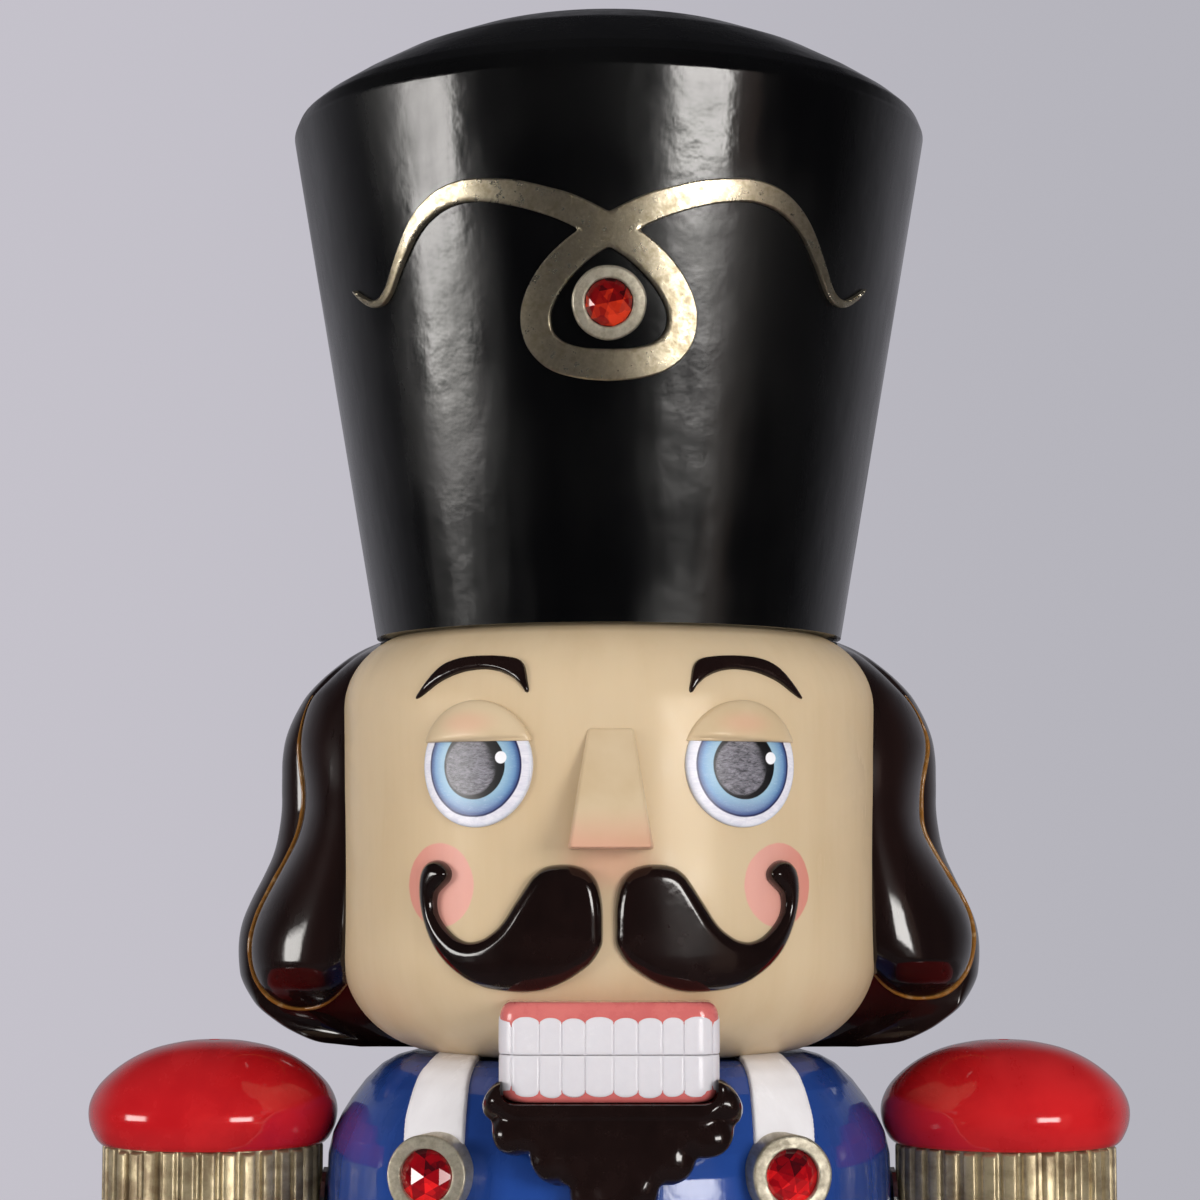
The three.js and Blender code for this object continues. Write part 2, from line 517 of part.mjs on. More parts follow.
// Two lugs on a foot that stands on the torso shelf, [x, z]
const BRACKET = [
  [-40, SHELF_TOP + GAP], [40, SHELF_TOP + GAP], [40, 1078], [22, 1078], [22, 1158],
  [14, 1158], [14, 1078], [-14, 1078], [-14, 1158], [-22, 1158], [-22, 1078], [-40, 1078],
];
const bracket = slabY(BRACKET, JAW_Y - 23, JAW_Y + 23).subtract(acrossJaw(PIN_R + GAP, -60, 60));
part("jaw_bracket", bracket, STEEL, body);
const pin = acrossJaw(PIN_R, -30, 30).add(acrossJaw(12, -30, -22.5)).add(acrossJaw(12, 22.5, 30));
part("jaw_pin", pin, STEEL, body);

// ---------- arms, each built about its own shoulder centre ----------
const ARM_SEG = 24;
const SLEEVE_R = 60, SLEEVE_TOP = 38.2, SLEEVE_END = -265, CUFF_END = -345;
const FRINGE_R = 64.5, FRINGE_NOTCH = 2.2, FRINGES = 34, FRINGE_TOP = 38.3;
const EPAULETTE_BOTTOM = FRINGE_TOP + GAP, CUFF_TOP = SLEEVE_END - GAP, HAND_TOP = CUFF_END - GAP;
// [r, z]
const EPAULETTE = [
  [0, EPAULETTE_BOTTOM], [60, EPAULETTE_BOTTOM], [65.3, 40.8], [70.1, 48], [73, 58.5],
  [68.7, 69.3], [56.4, 83], [35.8, 94.4], [0, 98.8],
];
const SLEEVE = [
  [0, SLEEVE_TOP], [SLEEVE_R, SLEEVE_TOP], [SLEEVE_R, -60], [57, -160], [53, SLEEVE_END],
  [47, SLEEVE_END], [51, -160], [53.5, -60], [53.5, 31], [0, 31],
];
const CUFF = [[0, CUFF_TOP], [54, CUFF_TOP], [58, -268], [57, -300], [56, CUFF_END], [0, CUFF_END]];
const FIST = [
  [0, HAND_TOP], [34, HAND_TOP], [40, -356], [44, -375], [44, -400], [38, -420], [24, -431],
  [0, -434],
];

// A ring with a ridged outside
function fringe() {
  const step = Math.PI / FRINGES; // from ridge to notch
  const star = Array.from({ length: 2 * FRINGES }, (_, i) => {
    const r = i % 2 ? FRINGE_R - FRINGE_NOTCH : FRINGE_R;
    return [r * Math.cos(i * step), r * Math.sin(i * step)];
  });
  return slabZ(star, -46, FRINGE_TOP).subtract(rodZ(SLEEVE_R + GAP, 0, -100, 100, ARM_SEG));
}

for (const [side, sign] of SIDES) {
  const arm = new THREE.Group();
  arm.position.set(sign * ARM_X, 0, ARM_Z);
  figure.add(arm);
  const bore = rodX(BOLT_R + 2, -sign * 10, -sign * 120, 0, 0); // towards the torso
  const hand = solid(lathe(FIST, 20), new THREE.Matrix4().makeScale(0.86, 1.05, 1).multiply(UP));
  part("epaulette_" + side, turned(EPAULETTE, ARM_SEG), RED, arm);
  part("fringe_" + side, fringe().subtract(bore), GOLD, arm);
  part("sleeve_" + side, turned(SLEEVE, ARM_SEG).subtract(bore), BLUE, arm);
  part("cuff_" + side, turned(CUFF, ARM_SEG), RED, arm);
  part("hand_" + side, hand, WHITE, arm);
}

export default figure;
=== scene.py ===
"""Looks for the full-size nutcracker figure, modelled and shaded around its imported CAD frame.

The figure stands up along +Z and faces -Y, so its own left side is +X.  Lengths are
millimetres in the part's own frame; meshes are written in metres.
"""

import math
import bpy
import bmesh
import numpy as np
from mathutils import Matrix, Vector
from mathutils.geometry import delaunay_2d_cdt


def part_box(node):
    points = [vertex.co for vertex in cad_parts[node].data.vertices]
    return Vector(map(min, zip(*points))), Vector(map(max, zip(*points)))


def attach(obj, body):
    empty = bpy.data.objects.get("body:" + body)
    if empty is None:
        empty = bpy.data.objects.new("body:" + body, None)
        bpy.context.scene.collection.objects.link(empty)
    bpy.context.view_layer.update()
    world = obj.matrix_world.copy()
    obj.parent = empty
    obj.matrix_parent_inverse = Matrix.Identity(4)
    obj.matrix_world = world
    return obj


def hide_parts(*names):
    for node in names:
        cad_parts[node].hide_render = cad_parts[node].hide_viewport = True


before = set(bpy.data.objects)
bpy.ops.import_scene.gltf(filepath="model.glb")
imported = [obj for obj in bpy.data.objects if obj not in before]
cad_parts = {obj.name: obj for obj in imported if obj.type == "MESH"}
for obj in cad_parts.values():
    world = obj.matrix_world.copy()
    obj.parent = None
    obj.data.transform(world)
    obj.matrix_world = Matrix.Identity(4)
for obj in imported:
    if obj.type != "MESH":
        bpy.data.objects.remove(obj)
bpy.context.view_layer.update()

scene = bpy.context.scene
MM = 0.001
TAU = 2 * math.pi
SIDES = (("right", -1), ("left", 1))
ARM_Z = 1195.0                  # height of the shoulder axis, which the arms are drawn from


def node_box(node):
    """Lowest and highest corner of a CAD node."""
    low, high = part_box(node)
    return np.array(low) * 1000.0, np.array(high) * 1000.0


def unit(value):
    return np.clip(value, 0, 1)


def dome(value):
    """Height of a unit quarter circle: 1 at 0, falling to 0 at 1."""
    return np.sqrt(unit(1 - value ** 2))


# ---------------------------------------------------------------- curves
def rounded(points, radii, steps):
    """A polyline with its inner corners rounded.  radii: one number, or one per point."""
    points = [np.array(point, float) for point in points]
    if not hasattr(radii, "__len__"):
        radii = [radii] * len(points)
    out = [points[0]]
    for before, corner, after, radius in zip(points, points[1:], points[2:], radii[1:]):
        back, ahead = before - corner, after - corner
        back_len, ahead_len = np.linalg.norm(back), np.linalg.norm(ahead)
        back, ahead = back / back_len, ahead / ahead_len
        half = math.acos(float(np.clip(np.dot(back, ahead), -1, 1))) / 2
        if radius <= 0 or half > math.radians(88):
            out.append(corner)
            continue
        cut = min(radius / math.tan(half), back_len * 0.49, ahead_len * 0.49)
        start, end = corner + back * cut, corner + ahead * cut
        for k in range(steps + 1):
            t = k / steps
            out.append((1 - t) ** 2 * start + 2 * t * (1 - t) * corner + t ** 2 * end)
    out.append(points[-1])
    return np.array(out)


def resample(points, step, closed=False):
    """Evenly spaced points along a polyline."""
    points = np.asarray(points, float)
    if closed:
        points = np.vstack([points, points[:1]])
    along = np.r_[0, np.cumsum(np.linalg.norm(np.diff(points, axis=0), axis=1))]
    count = max(3, int(round(along[-1] / step)))
    stops = np.linspace(0, along[-1], count + 1)
    out = np.stack([np.interp(stops, along, column) for column in points.T], 1)
    return out[:-1] if closed else out


def densify(points, step):
    """Splits long runs of a polyline and keeps its own points."""
    points = np.asarray(points, float)
    out = [points[0]]
    for start, end in zip(points[:-1], points[1:]):
        count = max(1, int(np.hypot(*(end - start)) / step))
        out += [start + (end - start) * k / count for k in range(1, count + 1)]
    return np.array(out)


def catmull(points, steps, closed=False):
    """Smooth curve through the points."""
    points = np.asarray(points, float)
    count = len(points)
    out = []
    for i in range(count if closed else count - 1):
        before, start, end, after = (
            points[j % count] if closed else points[min(max(j, 0), count - 1)]
            for j in range(i - 1, i + 3))
        for k in range(steps):
            t = k / steps
            out.append(0.5 * ((2 * start) + (end - before) * t
                              + (2 * before - 5 * start + 4 * end - after) * t * t
                              + (3 * start - before - 3 * end + after) * t ** 3))
    if not closed:
        out.append(points[-1])
    return np.array(out)


def arc(centre_r, centre_z, size_r, size_z, start, end, steps):
    """Points (r, z) of an elliptic arc between two angles in degrees."""
    t = np.radians(np.linspace(start, end, steps + 1))
    return np.stack([centre_r + size_r * np.cos(t), centre_z + size_z * np.sin(t)], 1)


def round_rect(half_x, half_z, mid_x, mid_z, radius, steps=8):
    points = []
    for sign_x, sign_z, start in ((1, 1, 0), (-1, 1, 90), (-1, -1, 180), (1, -1, 270)):
        for i in range(steps + 1):
            angle = math.radians(start + 90 * i / steps)
            points.append((mid_x + sign_x * (half_x - radius) + radius * math.cos(angle),
                           mid_z + sign_z * (half_z - radius) + radius * math.sin(angle)))
    return np.array(points)


def circle(mid, radius, z):
    """A level ring of 96 points round an upright axis at x = mid."""
    return [(mid + radius * math.sin(t), -radius * math.cos(t), z)
            for t in np.arange(96) * TAU / 96]


# ---------------------------------------------------------------- mesh helpers
def add_object(name, data):
    obj = bpy.data.objects.new(name, data)
    scene.collection.objects.link(obj)
    return obj


def shade_smooth(obj, sharp=35.0):
    """Smooth faces, with edges over the angle sharp."""
    obj.data.polygons.foreach_set("use_smooth", [True] * len(obj.data.polygons))
    obj.data.set_sharp_from_angle(angle=math.radians(sharp))
    return obj


def clean(mesh, weld):
    """Turns the normals out, after welding doubled points if asked."""
    bm = bmesh.new()
    bm.from_mesh(mesh)
    if weld:
        bmesh.ops.remove_doubles(bm, verts=bm.verts, dist=1e-6)
        bmesh.ops.dissolve_degenerate(bm, dist=1e-7, edges=bm.edges)
    bmesh.ops.recalc_face_normals(bm, faces=bm.faces)
    bm.to_mesh(mesh)
    bm.free()


def raw_mesh(name, verts, faces):
    mesh = bpy.data.meshes.new(name)
    verts = np.asarray(verts, float) * MM
    mesh.from_pydata(verts.tolist(), [], [list(map(int, face)) for face in faces])
    return mesh


def build(name, verts, faces, sharp=35.0):
    mesh = raw_mesh(name, verts, faces)
    mesh.validate()
    clean(mesh, True)
    return shade_smooth(add_object(name, mesh), sharp)


def revolve(name, profile, segments, centre=(0, 0), closed=False, vary=None, sharp=35.0):
    """A turned solid.  profile: (r, z) from axis to axis, or a closed loop of (r, z).
    vary(angles, r, z) -> radii lets the turning change round the axis."""
    angles = np.arange(segments) * TAU / segments
    verts, faces, rings = [], [], []
    for radius, z in profile:
        if not closed and radius < 1e-6:
            rings.append([len(verts)])
            verts.append((centre[0], centre[1], z))
            continue
        radii = np.full(segments, radius) if vary is None else vary(angles, radius, z)
        rings.append(list(range(len(verts), len(verts) + segments)))
        verts += [(centre[0] + r * math.sin(angle), centre[1] - r * math.cos(angle), z)
                  for angle, r in zip(angles, radii)]
    pairs = list(zip(rings[:-1], rings[1:]))
    if closed:
        pairs.append((rings[-1], rings[0]))
    for low, high in pairs:
        for i in range(segments):
            j = (i + 1) % segments
            # a pole stands for a whole ring, so its faces lose their repeated corner
            corners = (low[i % len(low)], low[j % len(low)],
                       high[j % len(high)], high[i % len(high)])
            faces.append(tuple(dict.fromkeys(corners)))
    return build(name, verts, faces, sharp)


def loft(name, rings, sharp, cap=True, extra=()):
    """A solid through closed rings that all have the same number of points."""
    count = len(rings[0])
    verts = np.vstack(rings)
    faces = []
    for k in range(len(rings) - 1):
        low, high = k * count, (k + 1) * count
        for i in range(count):
            j = (i + 1) % count
            faces.append((low + i, low + j, high + j, high + i))
    if cap:
        for k in (0, len(rings) - 1):
            hub = len(verts)
            verts = np.vstack([verts, np.mean(rings[k], 0)[None]])
            for i in range(count):
                face = (k * count + i, k * count + (i + 1) % count, hub)
                faces.append(face if k else face[::-1])
    return build(name, verts, faces + list(extra), sharp)


def tube(name, path, radius, segments=8, closed=False):
    """A round bead along a 3-D path; radius may vary along it."""
    path = np.asarray(path, float)
    radii = np.broadcast_to(radius, len(path))
    ahead, behind = np.roll(path, -1, 0), np.roll(path, 1, 0)
    if not closed:
        ahead[-1], behind[0] = path[-1], path[0]
    tangents = ahead - behind
    tangents /= np.linalg.norm(tangents, axis=1)[:, None] + 1e-12
    up = np.array([0, 0, 1.0]) if abs(tangents[0][2]) < 0.9 else np.array([0, 1.0, 0])
    normal = up - tangents[0] * np.dot(up, tangents[0])
    normal /= np.linalg.norm(normal)
    angles = np.arange(segments) * TAU / segments
    rings = []
    for point, tangent, r in zip(path, tangents, radii):
        normal = normal - tangent * np.dot(normal, tangent)
        normal /= np.linalg.norm(normal) + 1e-12
        side = np.cross(tangent, normal)
        rings.append(point + r * (np.cos(angles)[:, None] * normal
                                  + np.sin(angles)[:, None] * side))
    if closed:
        rings.append(rings[0])
    return loft(name, rings, 60, cap=not closed)


def modify(obj, kind, **settings):
    """Adds one modifier and bakes it into the mesh."""
    modifier = obj.modifiers.new(kind.lower(), kind)
    for key, value in settings.items():
        setattr(modifier, key, value)
    depsgraph = bpy.context.evaluated_depsgraph_get()
    depsgraph.update()
    mesh = bpy.data.meshes.new_from_object(obj.evaluated_get(depsgraph))
    old = obj.data
    obj.modifiers.clear()
    obj.data = mesh
    mesh.name = obj.name
    bpy.data.meshes.remove(old)


def subtract(obj, cutter):
    modify(obj, "BOOLEAN", operation="DIFFERENCE", object=cutter, solver="EXACT")
    bpy.data.objects.remove(cutter, do_unlink=True)


def bevel(obj, width, angle):
    modify(obj, "BEVEL", width=width * MM, segments=4, limit_method="ANGLE",
           angle_limit=math.radians(angle))
    shade_smooth(obj)


def remesh(obj, voxel, iterations):
    """Fuses overlapping lumps into one soft skin."""
    modify(obj, "REMESH", mode="VOXEL", voxel_size=voxel * MM, use_smooth_shade=True)
    modify(obj, "SMOOTH", factor=0.5, iterations=iterations)
    obj.data.polygons.foreach_set("use_smooth", [True] * len(obj.data.polygons))


def move(obj, matrix):
    obj.data.transform(matrix)
    obj.data.update()


def join(name, objs):
    bm = bmesh.new()
    for obj in objs:
        bm.from_mesh(obj.data)
    mesh = bpy.data.meshes.new(name)
    bm.to_mesh(mesh)
    bm.free()
    for obj in objs:
        bpy.data.objects.remove(obj, do_unlink=True)
    return shade_smooth(add_object(name, mesh))


def extrude_outline(name, outline, place, near, far):
    """A flat plate from a 2-D closed outline: place(u, v, depth) -> xyz."""
    count = len(outline)
    flat = delaunay_2d_cdt([Vector(point) for point in outline], [], [list(range(count))],
                           1, 1e-6)
    points, tris, origins = flat[0], flat[2], flat[3]
    verts = [place(point[0], point[1], depth) for depth in (near, far) for point in points]
    top = len(points)
    faces = [tuple(tri) for tri in tris] + [tuple(i + top for i in tri[::-1]) for tri in tris]
    index = {i: k for k, origin in enumerate(origins) for i in origin}
    for i in range(count):
        start, end = index[i], index[(i + 1) % count]
        faces.append((start, end, end + top, start + top))
    return build(name, verts, faces)


def dress(obj, body, finish, *nodes):
    """Paints a piece, parents it to its body and hides the frame parts it replaces."""
    slot, material = finish
    obj.data.materials.clear()
    obj.data.materials.append(material)
    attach(obj, body)
    if nodes:
        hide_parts(*nodes)


# ---------------------------------------------------------------- shader helpers
def lin(colour):
    """An sRGB colour of 0-255 as linear RGBA."""
    out = []
    for value in colour:
        value = value / 255.0
        out.append(value / 12.92 if value <= 0.04045 else ((value + 0.055) / 1.055) ** 2.4)
    return tuple(out) + (1.0,)


class Signal:
    """An output of a shader node; arithmetic on it adds math nodes."""

    def __init__(self, net, node, key=0):
        self.net, self.node, self.key = net, node, key

    def out(self, key):
        """Another output of the same node."""
        return Signal(self.net, self.node, key)

    def math(self, operation, other=0.0):
        return self.net.math(operation, self, other)

    def __add__(self, other):
        return self.math("ADD", other)

    def __sub__(self, other):
        return self.math("SUBTRACT", other)

    def __rsub__(self, other):
        return self.net.math("SUBTRACT", other, self)

    def __mul__(self, other):
        return self.math("MULTIPLY", other)

    def __truediv__(self, other):
        return self.math("DIVIDE", other)

    def __pow__(self, other):
        return self.math("POWER", other)

    def sqrt(self):
        return self.math("SQRT")

    def split(self):
        """The x, y and z parts."""
        parts = self.net.add("SeparateXYZ", self)
        return parts, parts.out(1), parts.out(2)

    def ramp(self, low, high, start=0.0, end=1.0):
        """Eases from start, where the signal is at low, to end, where it is at high."""
        return self.net.add("MapRange", self, low, high, start, end,
                            settings={"interpolation_type": "SMOOTHSTEP"})

    def blend(self, first, second):
        """Goes from the first colour to the second; three numbers are sRGB."""
        mix = self.net.add("Mix", self, settings={"data_type": "RGBA"})
        for socket, colour in zip(mix.node.inputs[6:8], (first, second)):
            if isinstance(colour, tuple) and len(colour) == 3:
                colour = lin(colour)
            self.net.put(socket, colour)
        return mix.out(2)


class Net:
    """A node tree of a new material or world."""

    def __init__(self, name, library=bpy.data.materials):
        self.owner = library.new(name)
        self.owner.use_nodes = True
        self.tree = self.owner.node_tree
        self.tree.nodes.clear()

    def put(self, socket, value):
        if isinstance(value, Signal):
            self.tree.links.new(value.node.outputs[value.key], socket)
        else:
            socket.default_value = value

    def add(self, kind, *values, settings=None, **inputs):
        """A node with its inputs filled by position, then by name."""
        node = self.tree.nodes.new("ShaderNode" + kind)
        for key, value in (settings or {}).items():
            setattr(node, key, value)
        for i, value in enumerate(values):
            self.put(node.inputs[i], value)
        for key, value in inputs.items():
            self.put(node.inputs[key.replace("_", " ")], value)
        return Signal(self, node)

    def math(self, operation, first, second):
        return self.add("Math", first, second, 0.0, settings={"operation": operation})

    def vector_math(self, operation, *vectors):
        return self.add("VectorMath", *vectors, settings={"operation": operation})

    def position(self, output="Object"):
        return self.add("TexCoord").out(output)

    def coords(self, scale=(1, 1, 1), rotation=(0, 0, 0)):
        return self.add("Mapping", Vector=self.position(), Scale=scale, Rotation=rotation)

    def cylindrical(self):
        """(arc, height, radius) about the part's own axis, so strokes run round it."""
        x, y, z = self.position().split()
        angle = x.math("ARCTAN2", y * -1.0)
        radius = (x * x + y * y).sqrt()
        return self.add("CombineXYZ", angle * 0.16, z, radius)

    def noise(self, vector, scale, detail, rough, distortion=0.0):
        return self.add("TexNoise", Vector=vector, Scale=scale, Detail=detail,
                        Roughness=rough, Distortion=distortion)

    def strokes(self, vector, angle, scale, stretch):
        """Long thin strokes: noise squeezed along one direction of a 2-D chart."""
        turned = self.add("Mapping", Vector=vector, Rotation=(0, 0, angle),
                          Scale=(1.0, 1.0 / stretch, 1.0))
        return self.noise(turned, scale, 5.0, 0.62)

    def geometry(self, output):
        return self.add("NewGeometry").out(output)

    def painted(self):
        """The three parts of the mesh's paint chart."""
        return self.add("Attribute", settings={"attribute_name": "paint"}).out("Vector").split()

    def bump(self, height, strength, distance):
        return self.add("Bump", Height=height, Strength=strength, Distance=distance)

    def surface(self, **inputs):
        self.add("OutputMaterial", self.add("BsdfPrincipled", **inputs))
        return self.owner


# ---------------------------------------------------------------- paints
def gloss_paint(name, colour, shade, stroke, seed, scale, rough=0.3, coat=1.0, coat_rough=0.07,
                angle=0.6, mottle=0.8, peel=0.12, dust=0.0, subsurface=0.0, around=False,
                chip=None, speck=0.12):
    """Hand-brushed enamel under clear varnish: strokes in the colour, uneven varnish on top.

    stroke, scale, angle: depth, fineness and slant of the strokes; around: they follow the
    axis; mottle: share of the shade; peel: waves in the varnish; chip: colour of worn edges."""
    net = Net(name)
    chart = net.cylindrical() if around else net.coords()
    shifted = net.vector_math("ADD", chart, (seed * 1.7, seed * 0.9, seed))
    base = lin(colour)
    broad = net.noise(shifted, 9.0, 3.0, 0.5)
    strokes = net.strokes(shifted, angle, scale, 10.0)
    fine = net.strokes(shifted, angle + 0.25, scale * 4.2, 14.0)
    shading = (broad * 0.6 + strokes * 0.4).ramp(0.62, 0.34) * mottle
    paint = shading.blend(base, lin(shade))
    specks = net.noise(net.coords(), 900.0, 2.0, 0.5)
    lighter = tuple(min(1, part * 1.6 + 0.02) for part in base[:3]) + (1,)
    paint = specks.ramp(0.66, 0.8, 0.0, speck).blend(paint, lighter)
    if chip:
        # the lighter ground shows where sharp edges have been rubbed
        edge = net.geometry("Pointiness").ramp(0.545, 0.60)
        patchy = net.noise(net.coords(), 140.0, 5.0, 0.7).ramp(0.50, 0.66)
        paint = (edge * patchy).blend(paint, chip)
    if dust:
        upward = net.geometry("Normal").split()[2].ramp(0.55, 1.0)
        paint = (upward * dust).blend(paint, (150, 146, 140))
    relief_height = strokes * 0.7 + fine * 0.3
    waves = net.noise(net.coords(), 55.0, 3.0, 0.5)
    depth = {}
    if subsurface:
        depth = dict(Subsurface_Weight=subsurface, Subsurface_Radius=(0.004, 0.002, 0.0015),
                     Subsurface_Scale=1.0)
    return net.surface(
        Base_Color=paint,
        Roughness=(strokes * 0.5 + broad * 0.5).ramp(0.35, 0.65, rough * 0.72, rough * 1.3),
        Normal=net.bump(relief_height, stroke, 0.0006),
        Specular_IOR_Level=0.12,
        Coat_Weight=coat,
        Coat_Roughness=(strokes * 0.45 + broad * 0.55).ramp(
            0.40, 0.62, coat_rough * 0.55, coat_rough * 1.6),
        Coat_Normal=net.bump(waves * 1.0 + relief_height * 0.5, peel, 0.0008),
        **depth)


def metal_paint(name, light, dark, hollow_shade, rough, metallic, scale, angle, bump, stretch=9.0,
                coat=0.15):
    """Fine brushed leafing paint; painted shade in hollows, painted highlight on sharp edges."""
    net = Net(name)
    chart = net.coords()
    strokes = net.strokes(chart, angle, scale, stretch)
    fine = net.strokes(chart, angle + 0.5, scale * 2.3, stretch * 1.4)
    broad = net.noise(chart, 14.0, 4.0, 0.6)
    grain = strokes * 0.55 + (fine * 0.25 + broad * 0.2)
    paint = grain.ramp(0.36, 0.62).blend(dark, light)
    sharpness = net.geometry("Pointiness")
    # painted shade: the hollows darken towards this colour
    paint = (sharpness.ramp(0.484, 0.43) * 0.22).blend(paint, hollow_shade)
    # painted highlight: sharp edges lighten towards pale cream
    paint = (sharpness.ramp(0.53, 0.60) * 0.5).blend(paint, (238, 232, 214))
    return net.surface(Base_Color=paint, Metallic=metallic,
                       Roughness=grain.ramp(0.32, 0.66, rough * 1.3, rough * 0.75),
                       Normal=net.bump(grain, bump, 0.0006),
                       Coat_Weight=coat, Coat_Roughness=0.25)


SKIN_A, SKIN_B = (208, 186, 152), (200, 176, 140)           # lighter and darker skin
CHEEK_IN, CHEEK_OUT = (222, 162, 150), (206, 130, 116)      # towards the nose, and away
CHEEK_S, CHEEK_Z = 100.6, 1386.0                            # arc from the middle, and height


def skin_material():
    """Warm enamel with painted cheeks, an airbrushed blush and painted shade in its hollows."""
    net = Net("skin_enamel")
    arc_len, z, _ = net.painted()
    chart = net.cylindrical()
    broad = net.noise(chart, 7.0, 3.0, 0.5)
    strokes = net.strokes(chart, 0.9, 46.0, 8.0)
    fine = net.strokes(chart, 0.2, 260.0, 9.0)
    mottle = broad * 0.65 + strokes * 0.35
    paint = mottle.ramp(0.36, 0.64).blend(SKIN_A, SKIN_B)
    # soft pink under the nose and round the mouth: airbrushed blush with painted shade under the
    # nose
    mouth = ((arc_len / 27.0) ** 2.0 + ((z - 1398.0) / 15.0) ** 2.0).sqrt()
    paint = mouth.ramp(1.35, 0.25, 0.0, 0.42).blend(paint, (208, 140, 120))
    # cheek discs with a hand-cut edge
    cheek_x, cheek_z = arc_len - CHEEK_S, z - CHEEK_Z
    wobble = (net.noise(chart, 60.0, 3.0, 0.6) - 0.5) * 1.6
    disc = ((cheek_x * cheek_x + cheek_z * cheek_z).sqrt() + wobble).ramp(23.7, 22.7)
    cheek = cheek_x.ramp(-20.0, 22.0).blend(CHEEK_IN, CHEEK_OUT)
    cheek = strokes.ramp(0.3, 0.7, 0.0, 0.25).blend(cheek, (236, 176, 160))
    paint = (disc * 0.93).blend(paint, cheek)
    # painted shade: the hollows and corners darken towards brown
    crease_shade = net.geometry("Pointiness").ramp(0.497, 0.44)
    paint = (crease_shade * 0.35).blend(paint, (150, 120, 80))
    height = strokes * 0.6 + fine * 0.25
    waves = net.noise(net.coords(), 40.0, 3.0, 0.5)
    patches = net.noise(chart, 16.0, 4.0, 0.6, 0.6).ramp(0.42, 0.60, 0.10, 0.42)
    return net.surface(
        Base_Color=paint,
        Roughness=mottle.ramp(0.35, 0.65, 0.30, 0.44),
        Normal=net.bump(height, 0.22, 0.0006),
        Specular_IOR_Level=0.22,
        Coat_Weight=patches * z.ramp(1330.0, 1470.0, 0.4, 1.0),
        Coat_Roughness=mottle.ramp(0.40, 0.6, 0.17, 0.28),
        Coat_Normal=net.bump(waves + height * 0.5, 0.14, 0.0008),
        Subsurface_Weight=0.06,
        Subsurface_Radius=(0.004, 0.002, 0.001),
        Subsurface_Scale=1.0)


def nose_material():
    """Skin that reddens towards the tip; heights here are in metres."""
    net = Net("skin_nose")
    z = net.position().split()[2]
    broad = net.noise(net.coords(), 30.0, 3.0, 0.5)
    strokes = net.noise(net.coords((160, 160, 30)), 1.0, 4.0, 0.6)
    base = broad.ramp(0.35, 0.65).blend(SKIN_A, SKIN_B)
    ragged = z + (broad - 0.5) * 0.012
    return net.surface(
        Base_Color=ragged.ramp(1.430, 1.403, 0.0, 0.62).blend(base, (214, 146, 126)),
        Roughness=broad.ramp(0.3, 0.7, 0.32, 0.42),
        Normal=net.bump(strokes, 0.12, 0.0005),
        Specular_IOR_Level=0.22, Coat_Weight=0.35, Coat_Roughness=0.22)


def lid_material():
    """Skin with a pink oval on the lid."""
    net = Net("skin_lid")
    x, z, _ = net.painted()
    broad = net.noise(net.coords(), 30.0, 3.0, 0.5)
    base = broad.ramp(0.35, 0.65).blend(SKIN_A, SKIN_B)
    oval = (((x + 2.0) / 17.0) ** 2.0 + ((z - 23.0) / 7.0) ** 2.0).sqrt()
    return net.surface(
        Base_Color=(oval + broad * 0.3).ramp(1.45, 0.3, 0.0, 0.34).blend(base, (222, 156, 134)),
        Roughness=0.36, Normal=net.bump(broad, 0.1, 0.0006),
        Specular_IOR_Level=0.22, Coat_Weight=0.4, Coat_Roughness=0.2)


def eye_material():
    """Hand-painted eye: white rim, blue iris in a navy line, grey-brushed pupil, dot of light."""
    net = Net("eye_painted")
    x, z, _ = net.painted()
    wobble = (net.noise(net.position(), 55.0, 3.0, 0.6) - 0.5) * 0.9
    radius = (x * x + z * z).sqrt() + wobble
    strokes = net.noise(net.coords((90, 300, 420), (0.0, 0.45, 0.0)), 1.0, 5.0, 0.7, 0.8)
    fine = net.noise(net.coords((240, 500, 1100), (0.0, 0.8, 0.0)), 1.0, 5.0, 0.75, 0.6)
    white = strokes.ramp(0.35, 0.65).blend((232, 230, 236), (215, 214, 224))
    white = radius.ramp(31.8, 34.4, 0.0, 0.45).blend(white, (176, 190, 206))
    lower = (z + (strokes - 0.5) * 10.0).ramp(-14.0, -27.0)
    iris = radius.ramp(19.0, 27.0).blend((150, 186, 207), (98, 139, 184))
    iris = (lower * 0.5).blend(iris, (140, 145, 172))
    iris = fine.ramp(0.5, 0.72, 0.0, 0.25).blend(iris, (206, 220, 232))
    iris = radius.ramp(24.4, 27.6, 0.0, 0.85).blend(iris, (52, 70, 122))
    paint = radius.ramp(28.5, 27.8).blend(white, iris)
    navy_line = radius.ramp(28.9, 28.3) * radius.ramp(27.3, 27.8)
    paint = navy_line.blend(paint, (34, 38, 82))
    # pupil: black with a grey dry-brushed light over it
    dry = fine * 0.55 + strokes * 0.45
    grey = dry.ramp(0.34, 0.66).blend((44, 44, 50), (150, 147, 155))
    off_centre = ((x + 1.9) ** 2.0 + (z + 0.8) ** 2.0).sqrt()
    grey_disc = (off_centre + (dry - 0.5) * 5.0).ramp(16.3, 15.0)
    grey_side = (x + (z - 4.0) * 0.35).ramp(13.5, 6.0)
    pupil = (grey_disc * grey_side).blend((12, 12, 15), grey)
    paint = radius.ramp(19.2, 18.6).blend(paint, pupil)
    dot_x, dot_z = x - 16.6, z - 4.0
    dot = (dot_x * dot_x + dot_z * dot_z).sqrt()
    paint = dot.ramp(3.6, 3.1).blend(paint, (244, 244, 246))
    return net.surface(
        Base_Color=paint, Roughness=strokes.ramp(0.3, 0.7, 0.32, 0.46),
        Normal=net.bump(strokes + fine * 0.6, 0.3, 0.0003),
        Coat_Weight=0.35, Coat_Roughness=0.22)


